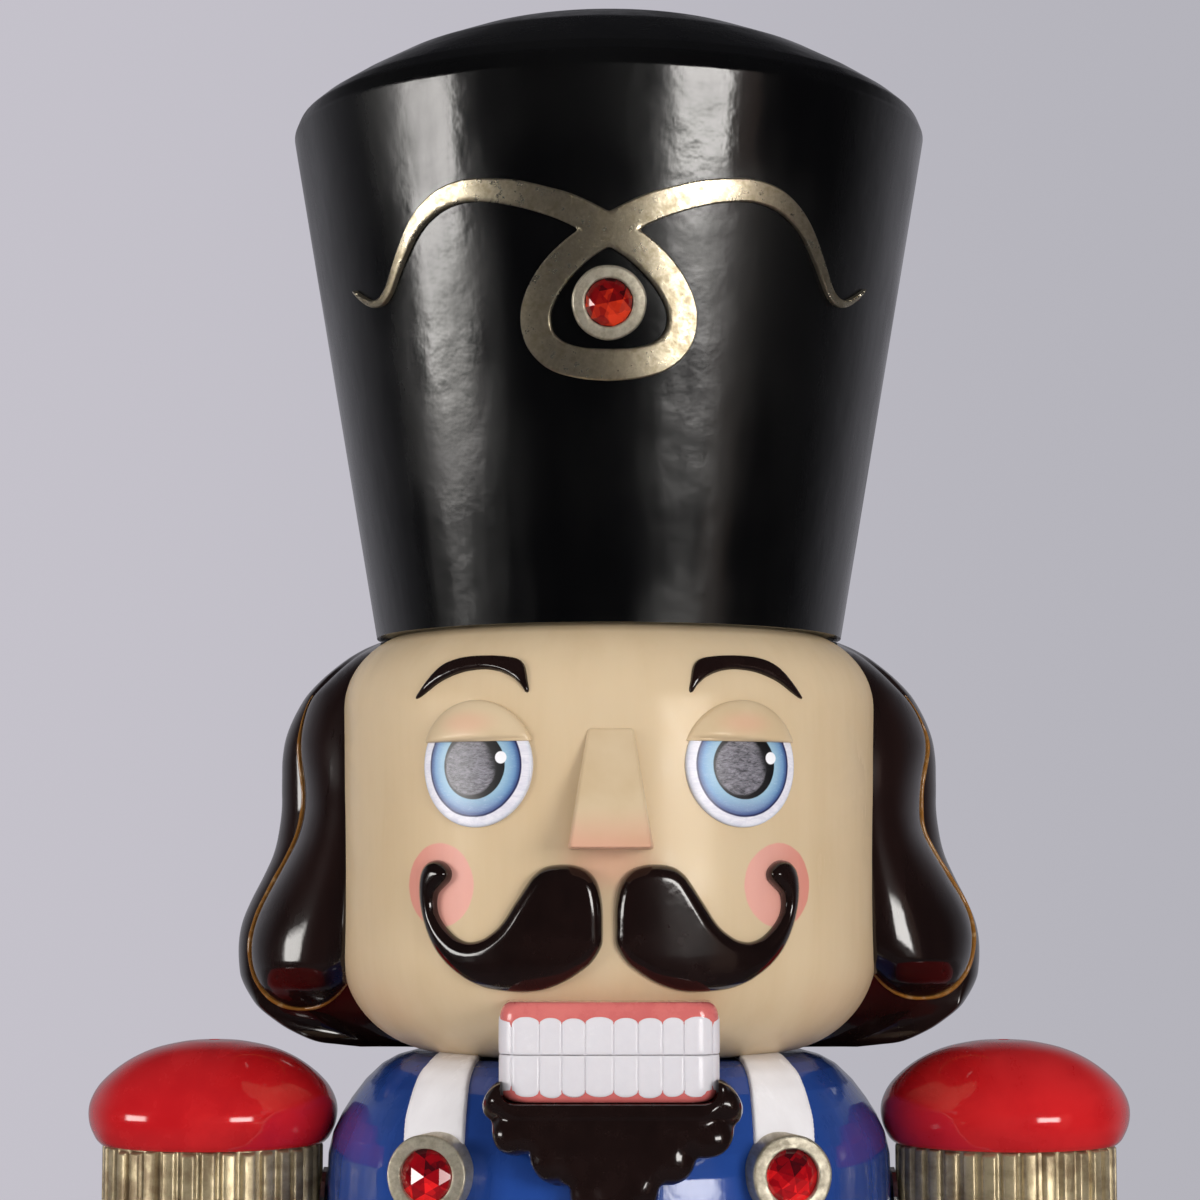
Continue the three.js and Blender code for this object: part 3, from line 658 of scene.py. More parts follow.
def gem_material(name, dark, mid, hot, glow):
    """Red acrylic: a painted reflection per facet, painted shade above and a painted glow below.
    """
    net = Net(name)
    normal = net.geometry("True Normal")
    # painted reflections: voronoi shards stand for light bouncing inside the stone
    cells = net.add("TexVoronoi", Vector=net.coords((230, 230, 230)), Scale=1.0)
    reflection_shards = cells.out("Color").split()[0]
    facet = net.noise(net.vector_math("MULTIPLY", normal, (3.3, 3.3, 3.3)), 2.1, 1.0, 0.5)
    # painted light: facets turned down are lighter, as if lit through from above
    depth = normal.split()[2] * -0.75 + (facet * 1.3 + reflection_shards * 0.30)
    paint = depth.ramp(0.25, 0.72).blend(dark, mid)
    paint = depth.ramp(0.82, 1.30).blend(paint, hot)
    # painted glow: the lighter facets emit light
    return net.surface(
        Base_Color=paint, Roughness=0.04, Specular_IOR_Level=0.6,
        Coat_Weight=1.0, Coat_Roughness=0.015, Coat_IOR=1.5,
        Emission_Color=paint, Emission_Strength=depth.ramp(0.7, 1.3, *glow))


def wood_material():
    net = Net("bare_pine_ply")
    noise = net.noise(net.coords((9, 60, 60)), 1.0, 6.0, 0.6, 1.2)
    rings = net.add("TexWave", Vector=net.coords((1.0, 6.0, 6.0)), Scale=5.0, Distortion=6.0,
                    Detail=3.0, settings={"wave_type": "RINGS", "rings_direction": "X"})
    grain = noise * 0.5 + rings.out(1) * 0.5
    return net.surface(Base_Color=grain.ramp(0.3, 0.7).blend((206, 170, 118), (166, 124, 76)),
                       Roughness=0.62, Normal=net.bump(grain, 0.25, 0.0006))


# each finish is the frame's slot name and the material that fills it
SKIN = ("skin_gloss", skin_material())
NOSE_SKIN = ("skin_gloss", nose_material())
LID_SKIN = ("skin_gloss", lid_material())
EYE_PAINT = ("eye_paint", eye_material())
HAT_BLACK = ("black_gloss", gloss_paint(
    "hat_black_enamel", (5, 5, 5), (3, 3, 4), rough=0.34, coat_rough=0.17, stroke=0.35,
    angle=1.30, scale=30.0, peel=0.42, around=True, seed=1.0))
HAIR_BROWN = ("dark_brown_gloss", gloss_paint(
    "hair_brown_enamel", (30, 17, 15), (20, 11, 10), coat_rough=0.055, stroke=0.30,
    angle=0.1, scale=40.0, peel=0.22, mottle=1.0, around=True, seed=2.0))
FACE_BROWN = ("dark_brown_gloss", gloss_paint(
    "moustache_brown_enamel", (27, 15, 13), (18, 10, 9), rough=0.25, coat_rough=0.045,
    stroke=0.2, angle=0.4, scale=60.0, peel=0.16, mottle=1.0, seed=3.0))
OCHRE = ("champagne", gloss_paint(
    "hair_ochre_line", (140, 94, 38), (92, 58, 22), rough=0.35, coat=0.9, coat_rough=0.09,
    stroke=0.3, scale=120.0, mottle=0.4, seed=4.0, chip=(206, 182, 140)))
GOLD = ("champagne", metal_paint(
    "champagne_brushed", (214, 203, 178), (172, 158, 130), hollow_shade=(178, 164, 136), rough=0.32,
    metallic=0.95, scale=190.0, angle=0.6, bump=0.40))
BLUE = ("blue_gloss", gloss_paint(
    "coat_blue_enamel", (34, 71, 146), (27, 55, 118), stroke=0.35, angle=0.2, scale=45.0,
    peel=0.55, around=True, seed=5.0))
RED = ("red_gloss", gloss_paint(
    "red_enamel", (204, 30, 33), (178, 20, 27), coat_rough=0.035, stroke=0.2, scale=50.0,
    peel=0.08, seed=6.0))
WHITE = ("white_satin", gloss_paint(
    "white_satin", (248, 246, 247), (234, 231, 232), rough=0.42, coat=0.45, coat_rough=0.22,
    stroke=0.4, angle=0.1, scale=60.0, peel=0.15, around=True, seed=7.0))
TOOTH = ("tooth_white", gloss_paint(
    "tooth_white", (217, 213, 216), (205, 201, 206), rough=0.4, coat=0.4, coat_rough=0.2,
    stroke=0.15, scale=160.0, peel=0.05, mottle=0.4, subsurface=0.05, seed=8.0, speck=0.0))
GUM = ("gum_pink", gloss_paint(
    "gum_pink", (212, 116, 110), (196, 98, 96), coat=0.9, coat_rough=0.09, stroke=0.25,
    scale=110.0, subsurface=0.05, seed=9.0))
BOOT_BLACK = ("black_gloss", gloss_paint(
    "boot_black_enamel", (12, 11, 12), (7, 7, 8), coat_rough=0.08, stroke=0.3, scale=50.0,
    peel=0.2, seed=10.0))
BASE_BLACK = ("base_black", gloss_paint(
    "base_black_enamel", (14, 13, 14), (9, 9, 10), rough=0.36, coat=0.9, coat_rough=0.12,
    stroke=0.35, scale=30.0, peel=0.25, dust=0.06, seed=11.0, chip=(86, 78, 66)))
GEM = ("red_gem", gem_material(
    "red_cut_stone", dark=(56, 8, 14), mid=(142, 8, 18), hot=(222, 28, 30), glow=(0.03, 0.20)))
DEEP_GEM = ("red_gem", gem_material(
    "red_cut_stone_deep", dark=(34, 5, 8), mid=(112, 10, 12), hot=(200, 52, 24),
    glow=(0.02, 0.10)))
RING_GOLD = ("champagne", metal_paint(
    "champagne_ring", (216, 208, 188), (178, 168, 146), hollow_shade=(176, 164, 138), rough=0.50,
    metallic=0.80, scale=190.0, angle=0.8, bump=0.30, coat=0.12))
FRINGE_GOLD = ("champagne", metal_paint(
    "fringe_antique_gold", (206, 190, 152), (142, 122, 92), hollow_shade=(58, 44, 30), rough=0.40,
    metallic=0.62, scale=60.0, angle=0.0, stretch=10.0, bump=0.5, coat=0.25))
STEEL = metal_paint(
    "zinc_steel", (196, 198, 202), (128, 130, 136), hollow_shade=(60, 56, 52), rough=0.34,
    metallic=1.0, scale=220.0, angle=1.2, bump=0.3, coat=0.0)
WOOD = wood_material()


# ---------------------------------------------------------------- raised work
def radius_by_height(profile):
    """r(z) from a list of (r, z) that rises in z."""
    profile = np.asarray(profile, float)
    return lambda z: np.interp(z, profile[:, 1], profile[:, 0])


def arc_of(x, z, radius_at, ref):
    """Arc length at radius ref of the point of a turned surface seen at x, z from the front."""
    return ref * np.arcsin(np.clip(x / radius_at(z), -1, 1))


def on_turned(radius_at, ref):
    """Chart of a turned surface: (s, z, h) -> xyz, with s an arc length at radius ref."""
    def chart(s, z, h):
        s, z, h = np.asarray(s, float), np.asarray(z, float), np.asarray(h, float)
        slope = (radius_at(z + 0.5) - radius_at(z - 0.5)) / 1.0
        outward = 1 / np.sqrt(1 + slope * slope)
        angle = s / ref
        radius = radius_at(z) + h * outward
        return np.stack([radius * np.sin(angle), -radius * np.cos(angle),
                         z - h * slope * outward], -1)
    return chart


def poly_dist(points, loops):
    """Distance from each point to the nearest edge of any loop."""
    best = np.full(len(points), 1e9)
    for loop in loops:
        ends = np.roll(loop, -1, 0)
        for k in range(0, len(loop), 64):
            start = loop[k:k + 64]
            edge = ends[k:k + 64] - start
            t = (np.einsum("nmk,mk->nm", points[:, None, :] - start[None], edge)
                 / (np.einsum("mk,mk->m", edge, edge) + 1e-12))
            near = start[None] + np.clip(t, 0, 1)[..., None] * edge[None]
            dist = np.sqrt(((points[:, None, :] - near) ** 2).sum(-1)).min(1)
            best = np.minimum(best, dist)
    return best


def poly_inside(points, loops):
    inside = np.zeros(len(points), bool)
    for loop in loops:
        for (x0, y0), (x1, y1) in zip(loop, np.roll(loop, -1, 0)):
            spans = (y0 > points[:, 1]) != (y1 > points[:, 1])
            if spans.any():
                crossing = (x1 - x0) * (points[:, 1] - y0) / (y1 - y0 + 1e-15) + x0
                inside ^= spans & (points[:, 0] < crossing)
    return inside


def twice_area(first, second, third):
    """Twice the signed area of each triangle."""
    return ((second[:, 0] - first[:, 0]) * (third[:, 1] - first[:, 1])
            - (second[:, 1] - first[:, 1]) * (third[:, 0] - first[:, 0]))


def inflate(points, tris, fixed):
    """Solves laplace(u) = -1 with u = 0 on the edge, by conjugate gradients;
    sqrt(2u) is the height of a blown-up cushion."""
    count = len(points)
    i, j, k = tris.T
    first, second, third = points[i], points[j], points[k]
    area = 0.5 * np.abs(twice_area(first, second, third)) + 1e-9

    def cotangent(at, left, right):
        return np.einsum("ij,ij->i", left - at, right - at) / (2 * area)

    cots = [cotangent(first, second, third), cotangent(second, third, first),
            cotangent(third, first, second)]
    starts, ends = np.concatenate([j, k, i]), np.concatenate([k, i, j])
    weight = np.clip(np.concatenate(cots) / 2, 1e-4, 1e3)
    mass = np.bincount(np.concatenate([i, j, k]), np.tile(area / 3, 3), count)
    free = ~fixed

    def laplace(values):
        flow = weight * (values[starts] - values[ends])
        return np.bincount(starts, flow, count) - np.bincount(ends, flow, count)

    out = np.zeros(count)
    residual = np.where(free, mass, 0.0)
    diagonal = (np.bincount(starts, weight, count) + np.bincount(ends, weight, count)
                + 1e-12)
    scaled = residual / diagonal
    search = scaled.copy()
    error = (residual * scaled).sum()
    for _ in range(900):
        applied = np.where(free, laplace(search), 0.0)
        step = error / ((search * applied).sum() + 1e-20)
        out += step * search
        residual -= step * applied
        if np.abs(residual).max() < 1e-6 * mass.max():
            break
        scaled = residual / diagonal
        new_error = (residual * scaled).sum()
        search = scaled + new_error / (error + 1e-20) * search
        error = new_error
    return np.maximum(out, 0)


def relief(name, loops, chart, height, step, rings=(0.35, 0.9, 1.8), embed=1.0, sharp=60,
           origin=(0, 0)):
    """A raised piece: loops are closed 2-D outlines in the chart, rings are insets that get
    extra points, and height(points, edge, swell) gives mm above the surface from the distance
    to the edge and the height of a blown-up cushion.  Its back is sunk by embed.  The paint
    attribute holds chart places from the origin, and the distance to the edge."""
    loops = [resample(loop, step, True) for loop in loops]
    edges = []
    for loop in loops:
        start, count = len(edges), len(loop)
        edges += [(start + i, start + (i + 1) % count) for i in range(count)]
    points = list(loops)
    for inset in rings:
        for loop in loops:
            fine = resample(loop, step, True)
            along = np.roll(fine, -1, 0) - np.roll(fine, 1, 0)
            along /= np.linalg.norm(along, axis=1)[:, None] + 1e-12
            across = np.stack([-along[:, 1], along[:, 0]], 1)
            for sign in (1, -1):
                moved = fine + sign * inset * across
                keep = poly_inside(moved, loops) & (poly_dist(moved, loops) > inset * 0.93)
                points.append(moved[keep])
    rim = np.vstack(loops)
    low, high = rim.min(0), rim.max(0)
    columns = np.arange(low[0], high[0], step)
    rows = np.arange(low[1], high[1], step * 0.866)
    grid = np.array([(x + (0.5 * step if row % 2 else 0), y)
                     for row, y in enumerate(rows) for x in columns])
    grid = grid[poly_inside(grid, loops)]
    points.append(grid[poly_dist(grid, loops) > rings[-1] + step * 0.6])

    flat = delaunay_2d_cdt([Vector(point) for point in np.vstack(points)], edges, [], 0, 1e-5)
    points = np.array([(point[0], point[1]) for point in flat[0]])
    tris = np.array([tri for tri in flat[2] if len(tri) == 3])
    tris = tris[poly_inside(points[tris].mean(1), loops)]
    flip = twice_area(*(points[tris[:, i]] for i in range(3))) < 0
    tris[flip] = tris[flip][:, ::-1]
    used = np.unique(tris)
    renumber = -np.ones(len(points), int)
    renumber[used] = np.arange(len(used))
    points, tris = points[used], renumber[tris]
    directed = dict.fromkeys((tri[i], tri[(i + 1) % 3]) for tri in tris for i in range(3))
    border = [(i, j) for i, j in directed if (j, i) not in directed]
    fixed = np.zeros(len(points), bool)
    fixed[np.array(border).ravel()] = True
    edge = poly_dist(points, loops)
    edge[fixed] = 0
    swell = np.sqrt(2 * inflate(points, tris, fixed))

    count = len(points)
    top = chart(points[:, 0], points[:, 1], height(points, edge, swell))
    bottom = chart(points[:, 0], points[:, 1], np.full(count, -embed))
    faces = [tuple(tri) for tri in tris] + [tuple(i + count for i in tri[::-1]) for tri in tris]
    faces += [(j, i, i + count, j + count) for i, j in border]
    mesh = raw_mesh(name, np.vstack([top, bottom]), faces)
    paint = np.zeros((2 * count, 3), np.float32)
    paint[:count, :2] = paint[count:, :2] = points - np.array(origin)
    paint[:count, 2] = edge
    attribute = mesh.attributes.new("paint", "FLOAT_VECTOR", "POINT")
    attribute.data.foreach_set("vector", paint.ravel())
    mesh.update()
    clean(mesh, False)
    return shade_smooth(add_object(name, mesh), sharp)


def contour(distance, low, high, cell):
    """Closed outlines of a signed distance field (inside is negative), by marching squares."""
    xs = np.arange(low[0], high[0] + cell, cell)
    ys = np.arange(low[1], high[1] + cell, cell)
    grid_x, grid_y = np.meshgrid(xs, ys, indexing="ij")
    field = distance(np.stack([grid_x.ravel(), grid_y.ravel()], 1)).reshape(grid_x.shape)

    def crossing(start, end):
        (i0, j0), (i1, j1) = start, end
        t = field[start] / (field[start] - field[end])
        return (xs[i0] + (xs[i1] - xs[i0]) * t, ys[j0] + (ys[j1] - ys[j0]) * t)

    inside = field < 0
    corners = (inside[:-1, :-1], inside[1:, :-1], inside[:-1, 1:], inside[1:, 1:])
    some, every = np.logical_or.reduce(corners), np.logical_and.reduce(corners)
    place, follow = {}, {}
    for i, j in np.argwhere(some & ~every):
        ring = [(i, j), (i + 1, j), (i + 1, j + 1), (i, j + 1)]
        sides = list(zip(ring, ring[1:] + ring[:1]))
        leaving = [side for side in sides if inside[side[0]] and not inside[side[1]]]
        entering = [side for side in sides if not inside[side[0]] and inside[side[1]]]
        for start, end in zip(leaving, entering):
            start_key, end_key = tuple(sorted(start)), tuple(sorted(end))
            place[start_key], place[end_key] = crossing(*start), crossing(*end)
            follow[start_key] = end_key
    loops = []
    while follow:
        key, loop = next(iter(follow)), []
        while key in follow:
            loop.append(place[key])
            key = follow.pop(key)
        if len(loop) > 8:
            loops.append(np.array(loop))
    return loops


def relax(loop, rounds):
    for _ in range(rounds):
        loop = 0.5 * loop + 0.25 * (np.roll(loop, 1, 0) + np.roll(loop, -1, 0))
    return loop


def plateau(height, shoulder, crown, width):
    """Rounded shoulders that level off: narrow parts stay low, wide ones go nearly flat."""
    return lambda points, edge, swell: (height * np.sqrt(1 - np.exp(-(swell / shoulder) ** 2))
                                        + crown * (1 - np.exp(-swell / width)))


def flat_top(height, ease, crown=0.0, width=8.0):
    """A level top with its edge rounded over the ease, and a slight crown."""
    return lambda points, edge, swell: (height - ease + ease * dome(1 - unit(edge / ease))
                                        + crown * (1 - np.exp(-swell / width)))


# ---------------------------------------------------------------- head
head_low, head_high = node_box("head_shell")
HEAD_LOW, HEAD_TOP, HEAD_R = head_low[2], head_high[2], 159.0
head_side = np.vstack([
    arc(98, HEAD_LOW + 60, HEAD_R - 98, 60, -90, 0, 22),
    [(HEAD_R, z) for z in np.arange(HEAD_LOW + 66, HEAD_TOP - 50, 5.0)],
    arc(107, HEAD_TOP - 48, HEAD_R - 107, 48, 0, 90, 22)])
r_head = radius_by_height(head_side)
chart_head = on_turned(r_head, HEAD_R)


def chart_paint(mesh):
    """Arc length, height and side of every vertex, for the painted cheeks and blushes."""
    places = np.zeros(len(mesh.vertices) * 3)
    mesh.vertices.foreach_get("co", places)
    x, y, z = places.reshape(-1, 3).T * 1000
    chart = np.stack([np.abs(np.arctan2(x, -y)) * HEAD_R, z, np.sign(x)], 1)
    attribute = mesh.attributes.new("paint", "FLOAT_VECTOR", "POINT")
    attribute.data.foreach_set("vector", chart.astype(np.float32).ravel())


head = revolve("head", np.vstack([[(0, HEAD_LOW)], head_side, [(0, HEAD_TOP)]]), 216)
chart_paint(head.data)
dress(head, "figure", SKIN, "head_shell")

# nose: an eased wedge, narrow at the top and proud at the foot
nose_low, nose_high = node_box("nose")
nose_top, nose_foot, nose_front = nose_high[2] - 1.3, nose_low[2] - 0.6, nose_low[1]
nose = build("nose_wedge", [
    (-11.6, -159.8, nose_top), (13.2, -159.8, nose_top),
    (15.2, -130, nose_top), (-13.4, -130, nose_top),
    (-21.0, nose_front, nose_foot + 2.0), (22.8, nose_front, nose_foot + 2.0),
    (26.0, -130, nose_foot), (-24.0, -130, nose_foot)],
    [(0, 1, 2, 3), (4, 7, 6, 5), (0, 4, 5, 1), (1, 5, 6, 2), (2, 6, 7, 3), (3, 7, 4, 0)])
bevel(nose, 1.9, 20)
dress(nose, "figure", NOSE_SKIN, "nose")

EYE_S, EYE_Z, EYE_R = 76.2, 1452.0, 34.2        # arc from the middle, height, radius
LID_R, LID_Z = 36.0, 1465.6                     # lid radius, height of its lower edge
# right eyebrow and moustache half from the front: x, z
BROW = [
    (-108.4, 1490.1), (-105.4, 1494.2), (-101.9, 1498.5), (-97.8, 1503), (-93.2, 1507),
    (-88, 1509.8), (-82.3, 1511.5), (-74.9, 1512.3), (-65.3, 1512.3), (-56.4, 1511.5),
    (-50.2, 1510.2), (-46.9, 1507.7), (-45.5, 1503.8), (-44.7, 1498.3), (-43.8, 1492.2),
    (-45.8, 1491.7), (-48, 1495), (-51.3, 1498.4), (-55.2, 1501.2), (-60.8, 1503.6),
    (-67.5, 1504.9), (-73.7, 1504.8), (-80.5, 1503.9), (-88, 1501.5), (-94.9, 1498.1),
    (-100.7, 1493.9), (-106, 1490.3)]
MOUSTACHE = [
    (-98.4, 1399.4), (-94.4, 1400), (-90.3, 1398.3), (-86.9, 1394), (-87.4, 1389),
    (-91.4, 1384.6), (-94.3, 1381.3), (-95.1, 1375.8), (-94.2, 1370.3), (-91.9, 1365.9),
    (-88.4, 1361.6), (-83.3, 1357.3), (-77, 1355.2), (-70.3, 1356.4), (-64.8, 1359.7),
    (-60.3, 1363.6), (-56.5, 1368.5), (-53.2, 1373.9), (-49.3, 1379.9), (-45.5, 1385.9),
    (-41.1, 1391.9), (-35.1, 1396.2), (-27.5, 1397.6), (-19.3, 1397.3), (-12.8, 1395.1),
    (-8.4, 1391.3), (-5.7, 1386.5), (-4.1, 1379.5), (-3.3, 1371.9), (-3.3, 1362.2),
    (-3.5, 1355.2), (-5.7, 1349.8), (-10, 1343.9), (-15.4, 1339.6), (-21.9, 1335.3),
    (-30.1, 1331.4), (-39.3, 1328.9), (-49.2, 1328.3), (-59.1, 1328.9), (-68, 1330.4),
    (-77, 1334), (-84.3, 1338.7), (-90, 1343.5), (-95.3, 1349.9), (-99.4, 1357.5),
    (-102.3, 1365.8), (-104.1, 1374), (-104.8, 1381.7), (-104.5, 1388.9), (-103.1, 1394.5),
    (-100.8, 1397.8)]


def face_outline(table, sign):
    """A right-hand outline as a smooth loop in the head's chart, mirrored for the left."""
    outline = catmull(table, 4, True)
    if sign > 0:
        outline = outline[::-1] * np.array([-1, 1])
    return np.stack([arc_of(outline[:, 0], outline[:, 1], r_head, HEAD_R), outline[:, 1]], 1)


def chart_moustache(s, z, h):
    """Stands off the head partly along its normal and partly straight to the front."""
    foot = chart_head(s, z, 0 * h)
    off = chart_head(s, z, h) - foot
    return foot + 0.45 * off + 0.55 * np.stack([0 * h, -h, 0 * h], -1)


def moustache_height(points, edge, swell):
    """Thicker along the top than underneath, low and round where it is narrow."""
    lean = np.interp(points[:, 1], [1326, 1402], [0.60, 1.25])
    return 8.6 * lean * dome(1 - unit(edge / 7.5)) + 1.2 * (1 - np.exp(-swell / 30.0))


def lid_height(middle):
    """An awning over the eye: domed from its round rim, with a rolled lower edge."""
    def height(points, edge, swell):
        radius = np.hypot(points[:, 0] - middle, points[:, 1] - EYE_Z)
        rise = 1.3 + 6.9 * dome(1 - unit((LID_R - radius) / 21.0))
        lower = LID_Z + 0.042 * (EYE_S - np.abs(points[:, 0]))
        roll = 1 - dome(1 - unit((points[:, 1] - lower) / 2.6))
        rise = rise - 2.4 * roll * unit(rise / 8.0)
        return np.maximum(rise - 0.7 * (1 - dome(1 - unit(edge / 0.8))), 0.3)
    return height


def face_side(side, sign):
    middle = sign * EYE_S
    t = np.linspace(0, TAU, 160, endpoint=False)
    disc = np.stack([middle + EYE_R * np.cos(t), EYE_Z + EYE_R * np.sin(t)], 1)
    disc[:, 1] = np.minimum(disc[:, 1], EYE_Z + 19.0)
    eye = relief("eye_" + side, [disc], chart_head, flat_top(2.0, 0.8, 1.6, 14.0), step=1.5,
                 origin=(middle, EYE_Z))
    dress(eye, "figure", EYE_PAINT, "eye_" + side)

    start = math.asin((LID_Z - EYE_Z) / LID_R) - 0.02
    t = np.linspace(start, math.pi - start, 70)
    cap = np.stack([middle + LID_R * np.cos(t), EYE_Z + LID_R * np.sin(t)], 1)
    lid = relief("eyelid_" + side, [cap], chart_head, lid_height(middle), step=1.3,
                 rings=(0.3, 0.8, 1.5, 2.4), sharp=50, origin=(middle, EYE_Z))
    dress(lid, "figure", LID_SKIN, "eyelid_" + side)

    brow = relief("eyebrow_" + side, [face_outline(BROW, sign)], chart_head,
                  plateau(3.2, 2.4, 0.5, 6.0), step=1.3, rings=(0.25, 0.7, 1.4))
    dress(brow, "figure", FACE_BROWN, "eyebrow_" + side)
    moustache = relief("moustache_" + side, [face_outline(MOUSTACHE, sign)], chart_moustache,
                       moustache_height, step=1.5, rings=(0.2, 0.6, 1.2, 2.2))
    dress(moustache, "figure", FACE_BROWN, "moustache_" + side)


for side, sign in SIDES:
    face_side(side, sign)

# ---------------------------------------------------------------- teeth and gums
# the tooth block: half width, front, corner radius, and the heights of bite and gums
BLOCK_HALF, BLOCK_FRONT, BLOCK_ROUND = 57.4, -174.2, 12.0
BITE, GUM_TOP, GUM_LOW = 1296.0, 1324.0, 1270.6
BLOCK_FLAT = BLOCK_HALF - BLOCK_ROUND
TOOTH_GAPS = [-51.6, -37.4, -25.4, -12.8, 2.4, 15.5, 28.6, 40.1, 54.2]      # x between teeth


def block_half(z):
    z = np.asarray(z, float)
    return (BLOCK_HALF - 6.0 * (1 - dome(unit((z - (GUM_TOP - 8.0)) / 8.0)))
            - 7.0 * (1 - dome(unit(((GUM_LOW + 8.0) - z) / 8.0))))


def block_front(z):
    z = np.asarray(z, float)
    return (BLOCK_FRONT + 3.2 * (1 - dome(unit((z - (GUM_TOP - 4.0)) / 4.0)))
            + 2.6 * (1 - dome(unit(((GUM_LOW + 3.5) - z) / 3.5))))


def gum_ring(z, back):
    """Plan of the block at one height; it swells past the roots of the teeth."""
    swell = float(unit((z - 1306.0) / 7.0) + unit((1283.0 - z) / 5.0)) * 1.5
    half, front = float(block_half(z)) + swell, float(block_front(z)) - swell
    turns = [math.pi / 2 * k / 9 for k in range(10)]
    radius = BLOCK_ROUND
    return ([(-half, back, z)]
            + [(-half + radius - radius * math.cos(turn), front + radius - radius * math.sin(turn),
                z) for turn in turns]
            + [(-half + radius + (2 * half - 2 * radius) * k / 8, front, z) for k in range(1, 8)]
            + [(half - radius + radius * math.sin(turn), front + radius - radius * math.cos(turn),
                z) for turn in turns]
            + [(half, back, z)])


def chart_block(u, z, h):
    """Chart of the front of the tooth block, with u running round its corners."""
    u, z, h = np.asarray(u, float), np.asarray(z, float), np.asarray(h, float)
    across = np.abs(u)
    turn = np.clip((across - BLOCK_FLAT) / BLOCK_ROUND, 0, math.pi / 2)
    back = np.maximum(across - BLOCK_FLAT - BLOCK_ROUND * math.pi / 2, 0)
    x = np.minimum(across, BLOCK_FLAT) + (BLOCK_ROUND + h) * np.sin(turn)
    y = block_front(z) + BLOCK_ROUND - (BLOCK_ROUND + h) * np.cos(turn) + back
    return np.stack([np.sign(u) * x * block_half(z) / BLOCK_HALF, y, z + 0 * x], -1)


def block_u(x):
    across = abs(x)
    if across > BLOCK_FLAT:
        across = BLOCK_FLAT + BLOCK_ROUND * math.asin((across - BLOCK_FLAT) / BLOCK_ROUND)
    return math.copysign(across, x)


def tooth_outline(left, right, low, high, up, first, last):
    """One tooth: straight sides, a rounded root end, a nearly square biting edge.
    first and last: the tooth runs on round that end of the block."""
    left, right = left + (0 if first else 0.10), right - (0 if last else 0.10)
    bite, root = (low, high) if up else (high, low)
    sign = 1 if up else -1
    points = []
    for k in range(13):
        t = k / 12
        bend = abs(2 * t - 1)
        if first and t < 0.5:
            bend *= 0.3
        if last and t > 0.5:
            bend *= 0.3
        points.append((left + (right - left) * t, root - sign * 2.4 * bend ** 2.6))
    points += [(right, bite + sign * 0.3), (right - 0.3, bite), (left + 0.3, bite),
               (left, bite + sign * 0.3)]
    return np.array(points if up else points[::-1])


def row_of_teeth(jaw, up, body, back, low, high, levels, rng):
    gum = loft("gum_" + jaw, [gum_ring(z, back) for z in levels], 50)
    dress(gum, body, GUM, jaw + "_gum")
    end = 64.0 + (abs(back - (BLOCK_FRONT + BLOCK_ROUND)) - 1.0)
    gaps = [-end] + [block_u(x) for x in TOOTH_GAPS] + [end]
    teeth = []
    for k in range(len(gaps) - 1):
        jitter = rng.uniform(-0.5, 0.5)
        outline = tooth_outline(gaps[k], gaps[k + 1], low + (0 if up else jitter),
                                high + (jitter if up else 0), up, k == 0, k == len(gaps) - 2)
        thick = 1.75 + 0.12 * rng.uniform(-1, 1)
        teeth.append(relief("tooth", [outline], chart_block, flat_top(thick, 0.6, 0.45, 3.0),
                            step=1.0, rings=(0.2, 0.6), embed=1.2))
    # a thinner band closes the gaps between the teeth
    low, high = (low, high - 3.4) if up else (low + 3.4, high)
    band = [(-end, low), (end, low), (end, high), (-end, high)]
    teeth.append(relief("band", [band], chart_block, flat_top(1.45, 0.2), step=1.6,
                        rings=(0.5,), embed=0.6))
    dress(join("teeth_" + jaw, teeth), body, TOOTH, jaw + "_teeth")


tooth_rng = np.random.default_rng(7)
row_of_teeth("upper", True, "figure", -112.0, BITE + 0.15, 1316.1, np.r_[
    np.linspace(BITE + 0.3, 1306, 3), np.linspace(1308, GUM_TOP - 7, 5),
    GUM_TOP - 7 + 7 * np.sin(np.linspace(0.15, 1, 9) * math.pi / 2)], tooth_rng)
row_of_teeth("lower", False, "jaw", -150.4, 1273.6, BITE - 0.15, np.r_[
    GUM_LOW + 8 - 8 * np.sin(np.linspace(1, 0.15, 9) * math.pi / 2),
    np.linspace(GUM_LOW + 8.6, 1283, 3), np.linspace(1285, BITE - 0.3, 3)], tooth_rng)

# ---------------------------------------------------------------- hat
hat_low, hat_high = node_box("hat_shell")
HAT_LOW, HAT_TOP = hat_low[2], hat_high[2]
HAT_FOOT_R, HAT_RIM_R, HAT_RIM_Z = 139.0, 190.8, 1834.0
HAT_REF = 170.0                 # radius at which arc lengths on the hat are measured
hat_side = rounded(
    [(HAT_FOOT_R, HAT_LOW), (189.3, 1825), (HAT_RIM_R, HAT_RIM_Z), (187.4, 1842.6),
     (178, 1850.6), (160, 1862.2), (135, 1876.2), (100, 1890.6), (60, 1900.4), (20, 1904.6),
     (0, HAT_TOP)], [0, 8, 6, 10, 24, 40, 60, 80, 80, 40, 0], 5)
r_hat = radius_by_height(hat_side[hat_side[:, 0] > 120])
hat_line = np.vstack([[(120, HAT_LOW + 0.4), (136.5, HAT_LOW)], hat_side])
hat = revolve("hat", np.vstack([[(0, HAT_LOW + 0.4)], densify(hat_line, 14)]), 216, sharp=60)
dress(hat, "figure", HAT_BLACK, "hat_shell")

